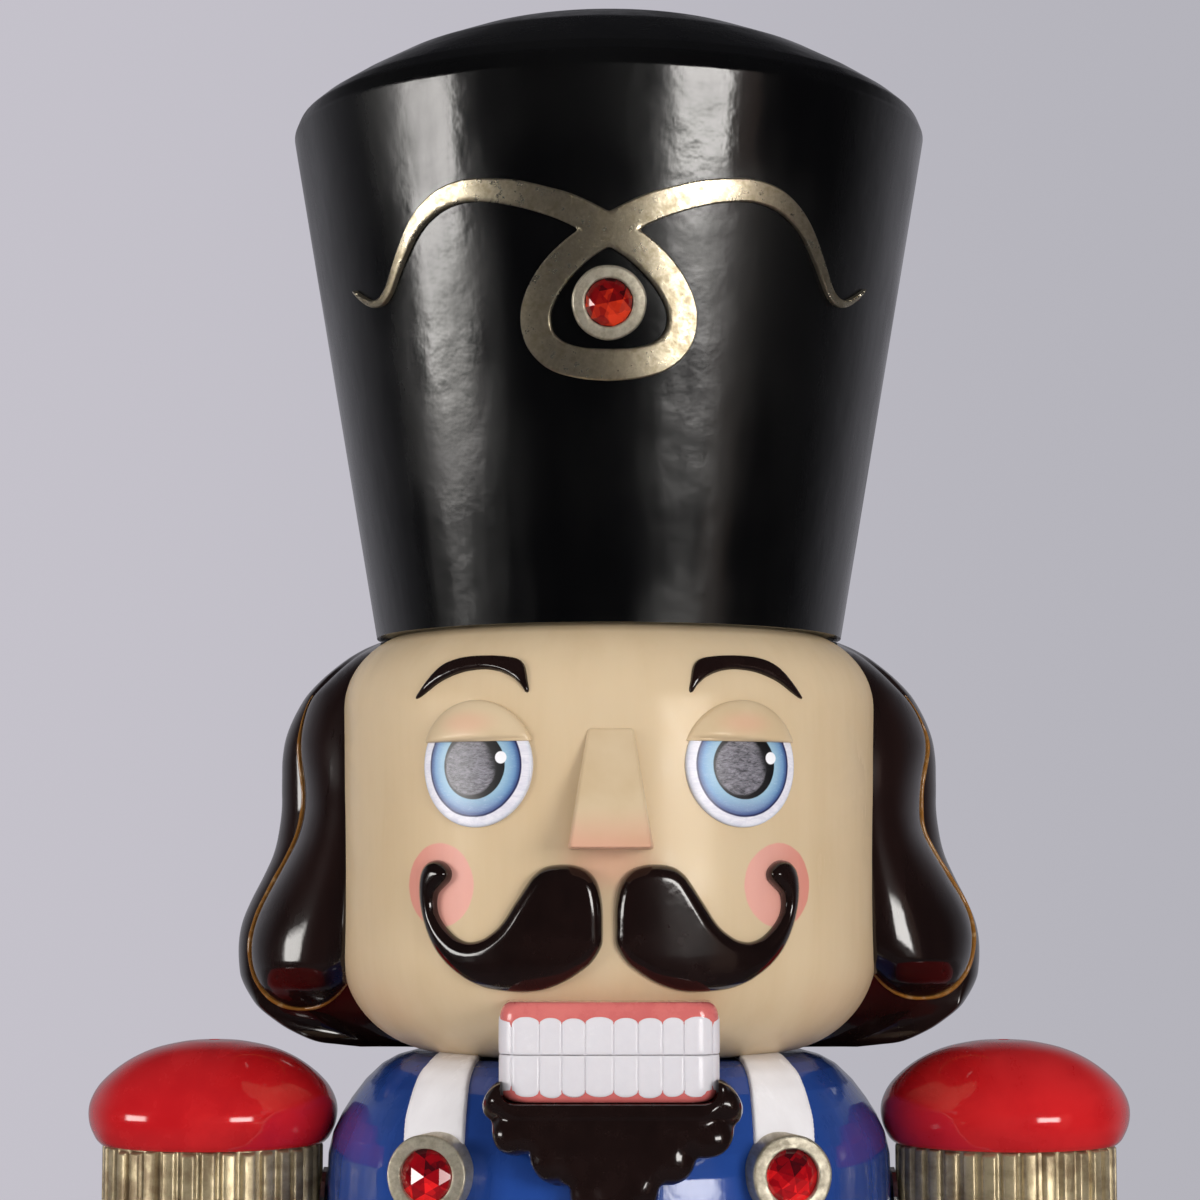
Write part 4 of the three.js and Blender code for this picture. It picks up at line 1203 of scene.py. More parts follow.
# right half of the scroll, from its tip to the middle: x, z, width of the stroke
SCROLL = [
    (-147, 1727.9, 0.6), (-140.6, 1721.1, 2.8), (-133.6, 1716.1, 3.9), (-127.9, 1716.6, 5.1),
    (-123.5, 1721.7, 5.6), (-119.7, 1730.8, 6.1), (-114.8, 1741.9, 7.2),
    (-109.4, 1751.9, 8.3), (-102.2, 1760, 9.9), (-92.3, 1766.2, 11.5), (-79.2, 1769, 12.5),
    (-65.1, 1767.9, 13), (-51.2, 1765.4, 14.1), (-37.3, 1761.4, 14.6), (-20.8, 1755.5, 15.6),
    (0, 1744.5, 16.2), (15.4, 1735, 16.2), (27.5, 1724, 16.8), (36.3, 1711.4, 16.8),
    (40.2, 1699.1, 16.9), (38, 1686.6, 16.9), (29.2, 1677.1, 16.9), (15.4, 1672.5, 16.9),
    (0, 1671.3, 17.4)]
scroll = catmull(SCROLL, 6)
scroll_line = np.stack([arc_of(scroll[:, 0], scroll[:, 1], r_hat, HAT_REF), scroll[:, 1]], 1)
scroll_half = scroll[:, 2] / 2


def scroll_distance(points):
    """Signed distance to the stroke and its mirror image."""
    best = np.full(len(points), 1e9)
    for sign in (1, -1):
        line = scroll_line * np.array([sign, 1])
        for k in range(len(line) - 1):
            run = line[k + 1] - line[k]
            t = unit(((points - line[k]) @ run) / (run @ run + 1e-12))
            half = scroll_half[k] + (scroll_half[k + 1] - scroll_half[k]) * t
            dist = np.hypot(*(points - (line[k] + t[:, None] * run)).T) - half
            best = np.minimum(best, dist)
    return best


scroll_loops = contour(scroll_distance, (-185, 1655), (185, 1785), 1.1)
dress(relief("hat_scroll", [relax(loop, 2) for loop in scroll_loops], on_turned(r_hat, HAT_REF),
             flat_top(3.0, 0.9, 0.25, 4.0), step=1.7, rings=(0.3, 0.9), sharp=40),
      "figure", GOLD, "hat_emblem")


# ---------------------------------------------------------------- faceted stones in rings
def gem_mesh(name, radius, height, place, turn, lift, base_lift):
    """Rose cut: six facets round a low point, eighteen down to the girdle, a hidden base."""
    def ring(count, size, level):
        angles = [TAU * i / count + turn for i in range(count)]
        return [(size * math.cos(angle), size * math.sin(angle), level) for angle in angles]
    verts = ([(0.0, 0.0, height + lift)] + ring(6, 0.60 * radius, 0.68 * height + lift)
             + ring(12, radius, 0.12 * height + lift) + ring(12, radius, -1.2 + base_lift))
    crown, girdle, base = 1, 7, 19          # first vertex of each ring
    faces = []
    for i in range(6):
        here, beyond = crown + i, crown + (i + 1) % 6
        start, mid, end = (girdle + (2 * i + k) % 12 for k in range(3))
        faces += [(0, here, beyond), (here, mid, beyond), (here, start, mid), (beyond, mid, end)]
    for i in range(12):
        j = (i + 1) % 12
        faces.append((girdle + i, base + i, base + j, girdle + j))
    faces.append(tuple(base + i for i in range(12))[::-1])
    obj = build(name, [place(*vert) for vert in verts], faces, 1)
    obj.data.polygons.foreach_set("use_smooth", [False] * len(obj.data.polygons))
    return obj


def ring_mesh(name, inner, outer, outer_top, inner_top, place, depth=2.5, ease=1.3):
    profile = rounded([(inner, -depth), (inner, inner_top), (outer, outer_top),
                       (outer + 0.3, -depth), (inner, -depth)],
                      [0, ease, ease * 1.5, 0, 0], 5)[:-1]
    segments, count = 96, len(profile)
    verts, faces = [], []
    for r, h in profile:
        for i in range(segments):
            angle = TAU * i / segments
            wobble = 1 + 0.006 * math.sin(3 * angle + 1.0) + 0.004 * math.sin(7 * angle)
            verts.append(place(r * wobble * math.cos(angle), r * wobble * math.sin(angle), h))
    for k in range(count):
        low, high = k * segments, (k + 1) % count * segments
        for i in range(segments):
            j = (i + 1) % segments
            faces.append((low + i, low + j, high + j, high + i))
    return build(name, verts, faces, 40)


def frame_at(origin, normal):
    """Places (across, up, out) in a plane through the origin that faces along the normal."""
    out = np.array(normal, float)
    out /= np.linalg.norm(out)
    across = np.cross(np.array([0, 0, 1.0]), out)
    across /= np.linalg.norm(across)
    up = np.cross(out, across)
    origin = np.array(origin, float)
    return lambda x, y, z: tuple(origin + across * x + up * y + out * z)


hat_slope = (HAT_RIM_R - HAT_FOOT_R) / (HAT_RIM_Z - HAT_LOW)
hat_stone = frame_at((0, -r_hat(1705.0), 1705.0), (0, -1, -hat_slope))
dress(ring_mesh("hat_jewel_ring", 13.3, 20.4, 6.6, 7.4, hat_stone), "figure", RING_GOLD,
      "hat_bezel")
dress(gem_mesh("hat_jewel", 13.2, 5.0, hat_stone, turn=0.2, lift=3.6, base_lift=1.2),
      "figure", DEEP_GEM, "hat_gem")
# each strap bezel is a short tube let into the coat, its face turned nearly square to the front
for side, sign in SIDES:
    splay = math.radians(14.0)
    place = frame_at((sign * 99.0, -156.5, 1230.0),
                     (sign * math.sin(splay), -math.cos(splay), 0.03))
    dress(ring_mesh("strap_ring_" + side, 14.7, 22.3, 0.0, 0.5, place, 34.0, 1.1),
          "figure", RING_GOLD, "strap_bezel_" + side)
    dress(gem_mesh("strap_jewel_" + side, 15.2, 6.6, place, turn=0.5236 if sign < 0 else 0.75,
                   lift=-3.6, base_lift=-5.0), "figure", GEM, "strap_gem_" + side)

# ---------------------------------------------------------------- hair
# a back mass of rolled locks and one pillow lock each side; its outline from the front: x, z
SILHOUETTE = [
    (150, 1288.6), (163, 1290), (175, 1291.8), (188, 1298), (198.5, 1305), (206.5, 1311.5),
    (212.5, 1319), (217, 1327), (219, 1334), (220, 1348), (218, 1362), (212.5, 1376),
    (205.5, 1390), (199, 1405), (195.5, 1419), (193.5, 1433), (193.3, 1448), (193, 1462),
    (190.5, 1476), (184, 1491), (174.5, 1505), (160, 1519), (149, 1526.5), (139.5, 1530.8)]
silhouette = catmull(SILHOUETTE, 5)
# it is met some way behind the axis, so it is a little wider there than it looks
silhouette[:, 0] = silhouette[:, 0] * 1.0205 + np.interp(
    silhouette[:, 1], [1288, 1300, 1345, 1400, 1440, 1500, 1526],
    [0.0, 1.6, 0.4, 0.5, 2.4, 2.4, 0.0])
r_hair = radius_by_height(silhouette)
WIDEST_Y = 36.0                 # depth at which the silhouette is met
LINE_Y = 8.0                    # depth of the ochre line behind the axis
CHEEK_X, CHEEK_Y = 140.0, -24.0     # where the hair starts at the cheek
# where the line between front lock and back mass runs off the axis: z, x
LINE_STATIONS = (
    [1300, 1330, 1343, 1355, 1368, 1380, 1398, 1413, 1430, 1444, 1458, 1471, 1486, 1498, 1512,
     1524, 1531],
    [206, 213, 215, 214.5, 210, 204, 194.5, 187, 183.5, 184, 186, 187, 184, 180, 168, 152, 139])
# groove places on each half, in turns: 0 at the cheek, 1 at the silhouette, 2 mid-back
GROOVES = [1.10, 1.32, 1.55, 1.80]


def line_x(z):
    return np.minimum(np.interp(z, *LINE_STATIONS), r_hair(z) - 5.0)


def cheek_x(z):
    """The cheek side starts just inside the head, all the way down round the chin."""
    return np.minimum(np.minimum(CHEEK_X, r_head(z) - 5.0), line_x(z) - 16.0)


def cheek_y(x, z):
    """Depth of the cheek side: straight back to the ochre line, then round to the silhouette.
    Under the cheek it leans back, away from the front."""
    x = np.asarray(x, float)
    reach, line, start = r_hair(z), line_x(z), cheek_x(z)
    straight = CHEEK_Y + (x - start) * (LINE_Y - CHEEK_Y) / (line - start)
    past = unit((x - line) / (reach - line))
    depth = WIDEST_Y - LINE_Y
    curve = LINE_Y + depth * (1 - dome(past)) * 0.75 + depth * 0.25 * past
    tuck = 30.0 * unit((1348.0 - np.asarray(z, float)) / 58.0) ** 1.6
    return np.where(x <= line, straight, curve) + tuck * unit((reach - x) / 30.0)


def hair_plan(z, turn):
    """Plan curve of one half of the back mass."""
    reach = float(r_hair(z))
    start = cheek_x(z)
    front_x = start + (reach - start) * np.sin(unit(turn) * math.pi / 2)
    past = unit(turn - 1) * math.pi / 2
    back_y = WIDEST_Y + (reach * 0.955 - WIDEST_Y) * np.sin(past)
    front = turn <= 1
    return (np.where(front, front_x, reach * np.cos(past)),
            np.where(front, cheek_y(front_x, z), back_y))


def groove_at(k, z):
    """The turn at which a wandering groove lies."""
    t = (z - 1400.0) / 120.0
    return GROOVES[k] + 0.045 * math.sin(2.3 * t + 0.7 * k) - 0.020 * t


def groove_depth(turn, z):
    """Rolled locks: a round swell between sharp valleys, deeper toward the curled ends."""
    half = [groove_at(k, z) for k in range(len(GROOVES))]
    grooves = half + [4.0 - groove for groove in half[::-1]]
    depth = (6.5 + 4.5 * unit((1420.0 - z) / 90.0)) * unit((1531.0 - z) / 22.0)
    out = np.zeros_like(turn)
    for start, end in zip(grooves[:-1], grooves[1:]):
        t = (turn - start) / (end - start)
        roll = 1 - np.sqrt(unit(1 - np.abs(2 * t - 1) ** 2.4))
        out = np.where((t >= 0) & (t <= 1), -depth * roll, out)
    # ease out of the outermost grooves toward the cheeks
    beyond = np.maximum(grooves[0] - turn, turn - grooves[-1])
    ease = -depth * 0.9 * (1 - dome(1 - unit(beyond / 0.10)))
    return np.where(beyond > 0, ease, out)


def hair_point(turn, z):
    """x, y on the back mass for turns of 0 to 4: 0 right cheek, 2 back, 4 left cheek."""
    half = np.where(turn <= 2, turn, 4 - turn)
    x, y = hair_plan(z, half)
    x_after, y_after = hair_plan(z, np.clip(half + 1e-3, 0, 2))
    x_before, y_before = hair_plan(z, np.clip(half - 1e-3, 0, 2))
    along_x, along_y = x_after - x_before, y_after - y_before
    length = np.hypot(along_x, along_y) + 1e-12
    depth = groove_depth(turn, z)
    x, y = x + along_y / length * depth, y + -along_x / length * depth
    return np.where(turn <= 2, -x, x), y


def hem_lift(turn, z):
    """Each lock curls to its own rounded end: the valleys lift the hem."""
    return 9.0 * unit(-groove_depth(turn, z) / 9.0) * unit((1345.0 - z) / 45.0)


# columns are packed round the grooves so the valleys stay crisp
columns = np.unique(np.round(np.concatenate(
    [np.linspace(0, 4, 420)] + [groove + np.linspace(-0.03, 0.03, 9)
                                for groove in GROOVES + [4 - g for g in GROOVES]]), 4))
INNER_COUNT = 24


def hair_ring(z):
    """One level of the back mass: its outer run, then an inner one inside the head."""
    shift = np.zeros_like(columns)          # the columns follow the wandering valleys
    for k, groove in enumerate(GROOVES):
        drift = groove_at(k, z) - groove
        for place, move_by in ((groove, drift), (4 - groove, -drift)):
            shift += move_by * unit(1 - np.abs(columns - place) / 0.09)
    turns = columns + shift
    inner = float(np.clip(r_head(z) - 16.0, 92.0, 134.0))
    t = np.linspace(0, math.pi, INNER_COUNT)
    ring = np.vstack([np.stack(hair_point(turns, z), 1),
                      np.stack([inner * np.cos(t), -16 + (inner + 8) * np.sin(t)], 1)])
    return np.column_stack([ring, z + np.r_[hem_lift(turns, z), np.zeros(INNER_COUNT)]])


def strip_cap(start, flip):
    """Closes a ring between its outer and inner runs."""
    middle = start + len(columns)
    outer = list(range(start, middle))
    inner = list(range(middle + INNER_COUNT - 1, middle - 1, -1))
    i = j = 0
    faces = []
    while i < len(outer) - 1 or j < len(inner) - 1:
        if j >= len(inner) - 1 or (i < len(outer) - 1
                                   and (i + 1) / len(outer) <= (j + 1) / len(inner)):
            faces.append((outer[i], outer[i + 1], inner[j]))
            i += 1
        else:
            faces.append((outer[i], inner[j + 1], inner[j]))
            j += 1
    return [face[::-1] for face in faces] if flip else faces


levels = np.unique(np.round(np.concatenate([silhouette[:, 1], np.linspace(1405, 1520, 26)]), 2))
rings = [hair_ring(z) for z in levels]
caps = strip_cap(0, False) + strip_cap((len(rings) - 1) * len(rings[0]), True)
dress(loft("hair_back", rings, 42, cap=False, extra=caps), "figure", HAIR_BROWN, "hair")

# outer edge of each front lock from the front, from the top down and under: distance off x = 0, z
LOCK_EDGES = {
    "right": [
        (179.2, 1498.1), (183.3, 1486.1), (185.9, 1471.1), (184.9, 1457.9), (182.9, 1444.1),
        (182.8, 1430.4), (186.8, 1413.1), (194.5, 1397.6), (203.8, 1380.4), (209.7, 1368.5),
        (213.7, 1354.9), (214.2, 1343), (211.1, 1329.4), (202.6, 1317.6), (190.6, 1311.7),
        (181.7, 1311.1), (169.8, 1313.5), (159.8, 1321.2), (151.5, 1331.2)],
    "left": [
        (182, 1494), (188.6, 1482), (192.2, 1469.9), (190.3, 1457.9), (187.8, 1447.1),
        (187, 1433.4), (187.2, 1419.7), (193.1, 1407.7), (200.4, 1395.8), (208.1, 1383.9),
        (215.1, 1372.1), (218.2, 1360.2), (217.4, 1344.8), (213.9, 1334.7), (206.8, 1324.7),
        (198.2, 1319.4), (186.2, 1317.6), (174.1, 1319.4), (164, 1324.7), (155.7, 1333.6)]}
# above that the lock narrows in under the hat; its hidden edge lies inside the head
LOCK_TOP = [(134, 1530.6), (143, 1527.2), (154, 1520.5), (163.5, 1512.5), (172.5, 1504)]
LOCK_INNER = [(143, 1340), (141.5, 1352), (141.5, 1400), (141.5, 1490), (140, 1505), (134, 1520)]
# depth of the crest by height (y, z): it leans forward with the lock, then turns under
crest = catmull([(-32, 1300), (-36.5, 1322), (-39, 1345), (-39.5, 1370), (-38.5, 1395),
                 (-36, 1420), (-32.5, 1445), (-29, 1470), (-26, 1500), (-20, 1535)], 6)


def chart_front(sign):
    """(x, z, h) -> xyz: stands forward of the cheek side, so outlines hold in front view."""
    def chart(x, z, h):
        x = np.abs(x)
        y = cheek_y(np.minimum(x, r_hair(z) - 1.5), z)
        return np.stack([sign * x, y - h, z + 0 * x], -1)
    return chart


def lock_height(points, edge, swell):
    """A roll whose crest hangs plumb through the middle of the lock and eases back
    above and below."""
    x, z = points.T
    stations = np.arange(z.min() + 3.0, z.max(), 4.0)
    best = [np.argmax(np.where(np.abs(z - level) < 4.0, swell, -1.0)) for level in stations]
    peak, peak_x = swell[best], x[best]
    for _ in range(6):
        for row in (peak, peak_x):
            row[1:-1] = 0.5 * row[1:-1] + 0.25 * (row[:-2] + row[2:])
    peak, peak_x = np.interp(z, stations, peak), np.interp(z, stations, peak_x)
    rise = cheek_y(peak_x, z) - np.interp(z, crest[:, 1], crest[:, 0])
    rise = np.minimum(rise, 1.25 * peak)
    t = swell / np.maximum(peak, np.interp(z, [1308.0, 1352.0], [34.0, 4.0]))
    return np.maximum(rise, 1.0) * np.clip(t, 0, 1.02)


def front_lock(side, sign):
    """The lock and the ochre line along its outer edge."""
    edge = catmull(LOCK_EDGES[side], 5)
    top = catmull(LOCK_TOP + [tuple(edge[0])], 4)[:-1]
    lead = resample(np.vstack([top, edge]), 2.0)
    for _ in range(14):
        lead[1:-1] = 0.5 * lead[1:-1] + 0.25 * (lead[:-2] + lead[2:])
    chart = chart_front(sign)
    lock = relief("hair_lock_" + side, [np.vstack([lead, LOCK_INNER])], chart, lock_height,
                  step=2.3, rings=(0.3, 0.8, 1.6, 3.0), embed=3.0)
    dress(lock, "figure", HAIR_BROWN)
    line = resample(lead, 1.6)
    line = line[line[:, 1] < 1499]
    index = np.arange(len(line))
    path = chart(line[:, 0] + 0.9, line[:, 1], np.full(len(line), 1.2))
    taper = 1.45 * np.clip(np.minimum(index, 200) / 22.0, 0.25, 1.0)
    wobble = 1 + 0.12 * np.sin(index * 0.37) * np.sin(index * 0.11)
    dress(tube("hair_line_" + side, path, taper * wobble), "figure", OCHRE)


def back_line(k, suffix):
    """Ochre line down a valley at the back; b is the mirrored half."""
    path = []
    for z in np.linspace(1293.0, 1519.0, 70):
        groove = groove_at(k, z)
        turn = np.array([4 - groove if suffix == "b" else groove])
        x, y = hair_point(turn, z)
        path.append((float(x[0]), float(y[0]), z + float(hem_lift(turn, z)[0])))
    index = np.arange(70)
    radii = 1.35 * np.clip(np.minimum(index, 69 - index) / 10.0, 0.3, 1)
    dress(tube(f"hair_line_back_{k + 1}{suffix}", path, radii), "figure", OCHRE)


for side, sign in SIDES:
    front_lock(side, sign)
for k in range(len(GROOVES)):
    for suffix in "ab":
        back_line(k, suffix)

# ---------------------------------------------------------------- coat body
TORSO_LOW, TORSO_R = node_box("torso_shell")[0][2], 166.0
SLOT_HALF = 13.5                # half width of the slots for the jaw lever
torso_side = rounded(
    [(TORSO_R, TORSO_LOW), (TORSO_R, 1212), (165.5, 1229), (162.7, 1241), (158, 1251),
     (152, 1260.5), (144, 1271), (134.5, 1280), (126, 1284.6), (116, 1287.2), (60, 1287.4)],
    [0, 30, 12, 9, 8, 8, 8, 8, 8, 8, 0], 4)
torso_line = densify(torso_side, 18)


def block(x0, x1, y0, y1, z0, z1):
    verts = [(x, y, z) for x in (x0, x1) for y in (y0, y1) for z in (z0, z1)]
    return build("cut", verts, [(0, 1, 3, 2), (4, 6, 7, 5), (0, 4, 5, 1), (2, 3, 7, 6),
                                (0, 2, 6, 4), (1, 5, 7, 3)])


torso = revolve("torso", np.vstack([
    [(156, TORSO_LOW), (161, TORSO_LOW)], torso_line,
    [(60, 1281), (118, 1280.6), (136, 1272), (150, 1256), (157, 1232), (158, 1200)]]),
    180, closed=True, sharp=50)
subtract(torso, block(-SLOT_HALF, SLOT_HALF, -230, -95, 1201, 1330))
# inside only: clearance under the lever with the jaw down
subtract(torso, block(-SLOT_HALF, SLOT_HALF, -161.5, -95, 1195, 1203))
back_slot = rounded([(-SLOT_HALF, 1098), (-SLOT_HALF, 1182), (SLOT_HALF, 1182),
                     (SLOT_HALF, 1098), (-SLOT_HALF, 1098), (-SLOT_HALF, 1182)],
                    [0, 5, 5, 5, 5, 0], 6)[1:-1]
subtract(torso, extrude_outline("cut", resample(back_slot, 2.0, True),
                                lambda u, v, depth: (u, depth, v), 120, 230))
cross_hole = revolve("cut", [(0, -300), (12.5, -300), (12.5, 300), (0, 300)], 40)
move(cross_hole, Matrix.Rotation(math.pi / 2, 4, "Y"))
move(cross_hole, Matrix.Translation((0, 0, ARM_Z * MM)))
subtract(torso, cross_hole)
shade_smooth(torso, 40)
dress(torso, "figure", BLUE, "torso_shell")

# straps: flat bands with eased edges, over the shoulder and down to the belt
torso_along = np.r_[0, np.cumsum(np.hypot(*np.diff(torso_line, axis=0).T))]
STRAP_TOP = float(np.interp(-100.0, -torso_line[:, 0], torso_along))
# outer edge going down and inner edge going up: x, z
strap_outer = catmull([(92.5, 1287.4), (98, 1286.9), (101.8, 1283), (106.8, 1275.7),
                       (111.3, 1259.2), (112.2, 1247.7), (112, 1190), (109.4, 1100),
                       (106.8, 1000), (104.2, 896)], 6)
strap_inner = catmull([(74.2, 896), (76.2, 1000), (78.4, 1100), (80, 1190), (79, 1240),
                       (78.3, 1264.1), (77.4, 1277), (75.6, 1284), (73.8, 1286.9),
                       (70, 1287.4)], 6)


def torso_at(t):
    """(r, z) of the torso's side at a length t along its profile."""
    return (np.interp(t, torso_along, torso_line[:, 0]),
            np.interp(t, torso_along, torso_line[:, 1]))


def chart_strap(s, t, h):
    """s is an arc length at the torso's radius, t a length along its profile."""
    r, z = torso_at(t)
    r_after, z_after = torso_at(t + 1.5)
    r_before, z_before = torso_at(t - 1.5)
    length = np.hypot(r_after - r_before, z_after - z_before) + 1e-9
    out_r, out_z = (z_after - z_before) / length, -(r_after - r_before) / length
    angle = s / TORSO_R
    radius = r + h * out_r
    return np.stack([radius * np.sin(angle), -radius * np.cos(angle), z + h * out_z], -1)


for side, sign in SIDES:
    x, z = np.vstack([strap_outer, strap_inner]).T
    t = np.interp(z, torso_line[:, 1], torso_along)
    t[z > 1287.2] = STRAP_TOP
    radius = torso_at(t)[0]
    s = TORSO_R * np.arcsin(np.clip(np.minimum(x, radius * 0.97) * sign / radius, -1, 1))
    strap = relief("strap_" + side, [np.stack([s, t], 1)], chart_strap,
                   flat_top(2.7, 0.9, 0.35, 6.0), step=3.0, rings=(0.3, 0.9), embed=1.2)
    dress(strap, "figure", WHITE, "strap_" + side)

# belt: crowned band with a bead at each edge
belt_low, belt_high = node_box("belt")
low, high = belt_low[2], belt_high[2]
BELT_R, BELT_IN, mid = 175.2, 167.6, (low + high) / 2
belt = revolve("belt", rounded(
    [(BELT_IN, low), (171.5, low - 0.2), (174.6, low + 0.8), (BELT_R, low + 4),
     (173.6, low + 6.2), (174.4, low + 8.5), (BELT_R, mid), (174.4, high - 8.5),
     (173.6, high - 6.2), (BELT_R, high - 4), (174.6, high - 0.8), (171.5, high + 0.2),
     (BELT_IN, high), (BELT_IN, mid), (BELT_IN, low)],
    [0, 1.4, 1.6, 1.6, 1.2, 2, 20, 2, 1.2, 1.6, 1.6, 1.4, 0, 0, 0], 4)[:-1],
    180, closed=True, sharp=50)
dress(belt, "figure", WHITE, "belt")

# buckle: open frame with a tongue, curved round the belt
buckle_low, buckle_high = node_box("belt_buckle")
buckle_z = (buckle_low[2] + buckle_high[2]) / 2
half_x, half_z = (buckle_high[0] - buckle_low[0]) / 2, (buckle_high[2] - buckle_low[2]) / 2
chart_belt = on_turned(lambda z: np.full_like(z, 175.0), 175.0)
buckle = relief("buckle_frame", [round_rect(half_x, half_z, 0, buckle_z, 8.5),
                                 round_rect(half_x - 11.5, half_z - 11.5, 0, buckle_z, 3.0)],
                chart_belt, flat_top(7.6, 2.2, 1.0, 5.0), step=1.8, rings=(0.4, 1.1, 2.2),
                embed=2.0)
tongue = relief("buckle_tongue", [round_rect(half_x - 8.0, 3.4, -4.0, buckle_z, 3.0)],
                chart_belt, lambda points, edge, swell: 8.5 * (1 - np.exp(-swell / 2.4)),
                step=1.2, rings=(0.4, 1.0))
dress(join("belt_buckle_brushed", [buckle, tongue]), "figure", RING_GOLD, "belt_buckle")

# coat buttons: domed, with a turned rim and an eight-lobed step between
button_side = rounded(
    [(0, 10.4), (4.2, 10.2), (5.8, 8.4), (8.6, 8.2), (11.2, 8.6), (13.2, 7.6), (14.9, 5.2),
     (15.1, 1), (15, -5), (0, -5)], [0, 2, 1.5, 2, 2, 2, 2, 1, 0, 0], 4)


def button_lobes(angles, r, z):
    return r * (1 + 0.035 * np.cos(8 * angles) * (1 if 7.5 < z < 9.5 else 0))


for i in (1, 2):
    name = f"coat_button_{i}"
    low, high = node_box(name)
    button = revolve(name, button_side, 64, sharp=50, vary=button_lobes)
    move(button, Matrix.Translation((0, -0.1665, (low[2] + high[2]) / 2 * MM))
         @ Matrix.Rotation(math.pi / 2, 4, "X"))
    dress(button, "figure", RING_GOLD, name)

# skirt: flared, with twelve soft pleats that die out under the belt
SKIRT_TOP = node_box("coat_skirt")[1][2]
HEM_Z = 641.0
skirt_outer = rounded([(199.3, HEM_Z), (188, 715), (176, 800), (168.5, 850), (167, SKIRT_TOP)],
                      60, 6)
skirt_inner = rounded([(160.8, SKIRT_TOP), (162, 845), (170, 795), (180, 722), (191.5, HEM_Z)],
                      60, 6)


def valley(angles):
    """1 down the middle of each pleat's valley, falling to 0 beside it."""
    away = np.abs(((angles * 12 / TAU + 0.5) % 1.0) - 0.5) * 2
    return np.exp(-(away / 0.16) ** 2)


def pleat(angles, r, z):
    depth = unit((845.0 - z) / 200.0) ** 1.1
    return r - depth * (3.4 * valley(angles)) + depth * 0.9 * np.cos(12 * angles + math.pi)


def hem_pleat(angles, r, z):
    return (r - 3.0 * valley(angles) + 0.8 * np.cos(12 * angles + math.pi)
            + 0.25 * np.cos(96 * angles))


skirt = revolve("coat_skirt", np.vstack([densify(skirt_outer, 9), densify(skirt_inner, 16)]),
                288, closed=True, vary=pleat, sharp=55)
dress(skirt, "figure", BLUE, "coat_skirt")
hem = rounded([(197.2, HEM_Z), (201.8, 640.6), (204.2, 642.8), (203.2, 648), (202, 652),
               (202.6, 656.5), (201.2, 661.6), (198.6, 663.2), (194.6, 662.8), (196, 652),
               (197.2, HEM_Z)], [0, 1.5, 1.6, 2, 1.2, 2, 1.6, 1.2, 0, 0, 0], 4)[:-1]
dress(revolve("skirt_hem_braid", hem, 384, closed=True, vary=hem_pleat, sharp=55),
      "figure", GOLD, "skirt_hem_band")


# ---------------------------------------------------------------- legs and boots
def trouser_leg(side, sign):
    """A leg with gold braid down its outer side."""
    name = "trouser_leg_" + side
    low, high = node_box(name)
    mid, foot, top = (low[0] + high[0]) / 2, low[2], high[2]
    profile = rounded(
        [(0, foot), (56, foot), (59.5, foot + 1.5), (61.6, foot + 6), (62.4, foot + 40),
         (61.6, foot + 110), (62.4, foot + 190), (63.6, top - 6), (62, top), (0, top)],
        [0, 0, 1.5, 4, 30, 60, 60, 4, 1, 0], 4)
    leg = revolve(name, densify(profile, 14), 120, (mid, 0), sharp=55)
    dress(leg, "figure", WHITE, name)
    z = np.linspace(foot + 4, top - 22, 90)
    radius = np.interp(z, profile[2:-2, 1], profile[2:-2, 0]) + 0.5
    for k, offset in enumerate((-0.075, 0.075)):
        angle = sign * (math.pi / 2 + offset)
        path = np.stack([mid + radius * math.sin(angle), -radius * math.cos(angle), z], 1)
        twist = 1.9 * (1 + 0.10 * np.sin(np.arange(90) * 1.9))
        dress(tube(f"leg_braid_{side}_{k + 1}", path, twist, 10), "figure", GOLD)


# boot stations, each as heights and values: y of toe and heel, half width, squareness
BOOT_TOE = ([96, 112, 127, 141, 158, 176, 205, 235, 270],
            [-151, -154.5, -150, -137, -112, -84, -66, -60, -58])
BOOT_HEEL = ([96, 110, 150, 200, 260, 330, 420, 430], [60, 62, 59.5, 56, 57.5, 62, 67, 68.4])
BOOT_HALF = ([96, 115, 150, 190, 230, 260, 330, 420, 430],
             [53, 56, 56, 55.5, 56.2, 57.8, 62, 67, 68.4])
BOOT_SQUARE = ([96, 170, 240], [2.35, 2.15, 2.0])
BOOT_SEGMENTS = 96
# rolled top cuff: r, z
BOOT_CUFF = rounded([(61, 404), (67.6, 403.6), (69.6, 406.5), (69.8, 416), (69.6, 425.5),
                     (67.8, 429.6), (63, 430), (60, 427), (60, 410), (61, 404)],
                    [0, 1.6, 2, 10, 2.2, 2, 2, 1, 0, 0], 4)[:-1]
# welt: scale of the foot outline, height above the sole
WELT = [(1.045, 0.3), (1.06, 1.2), (1.062, 7.6), (1.045, 9.2), (0.99, 11.5), (0.95, 13.4)]


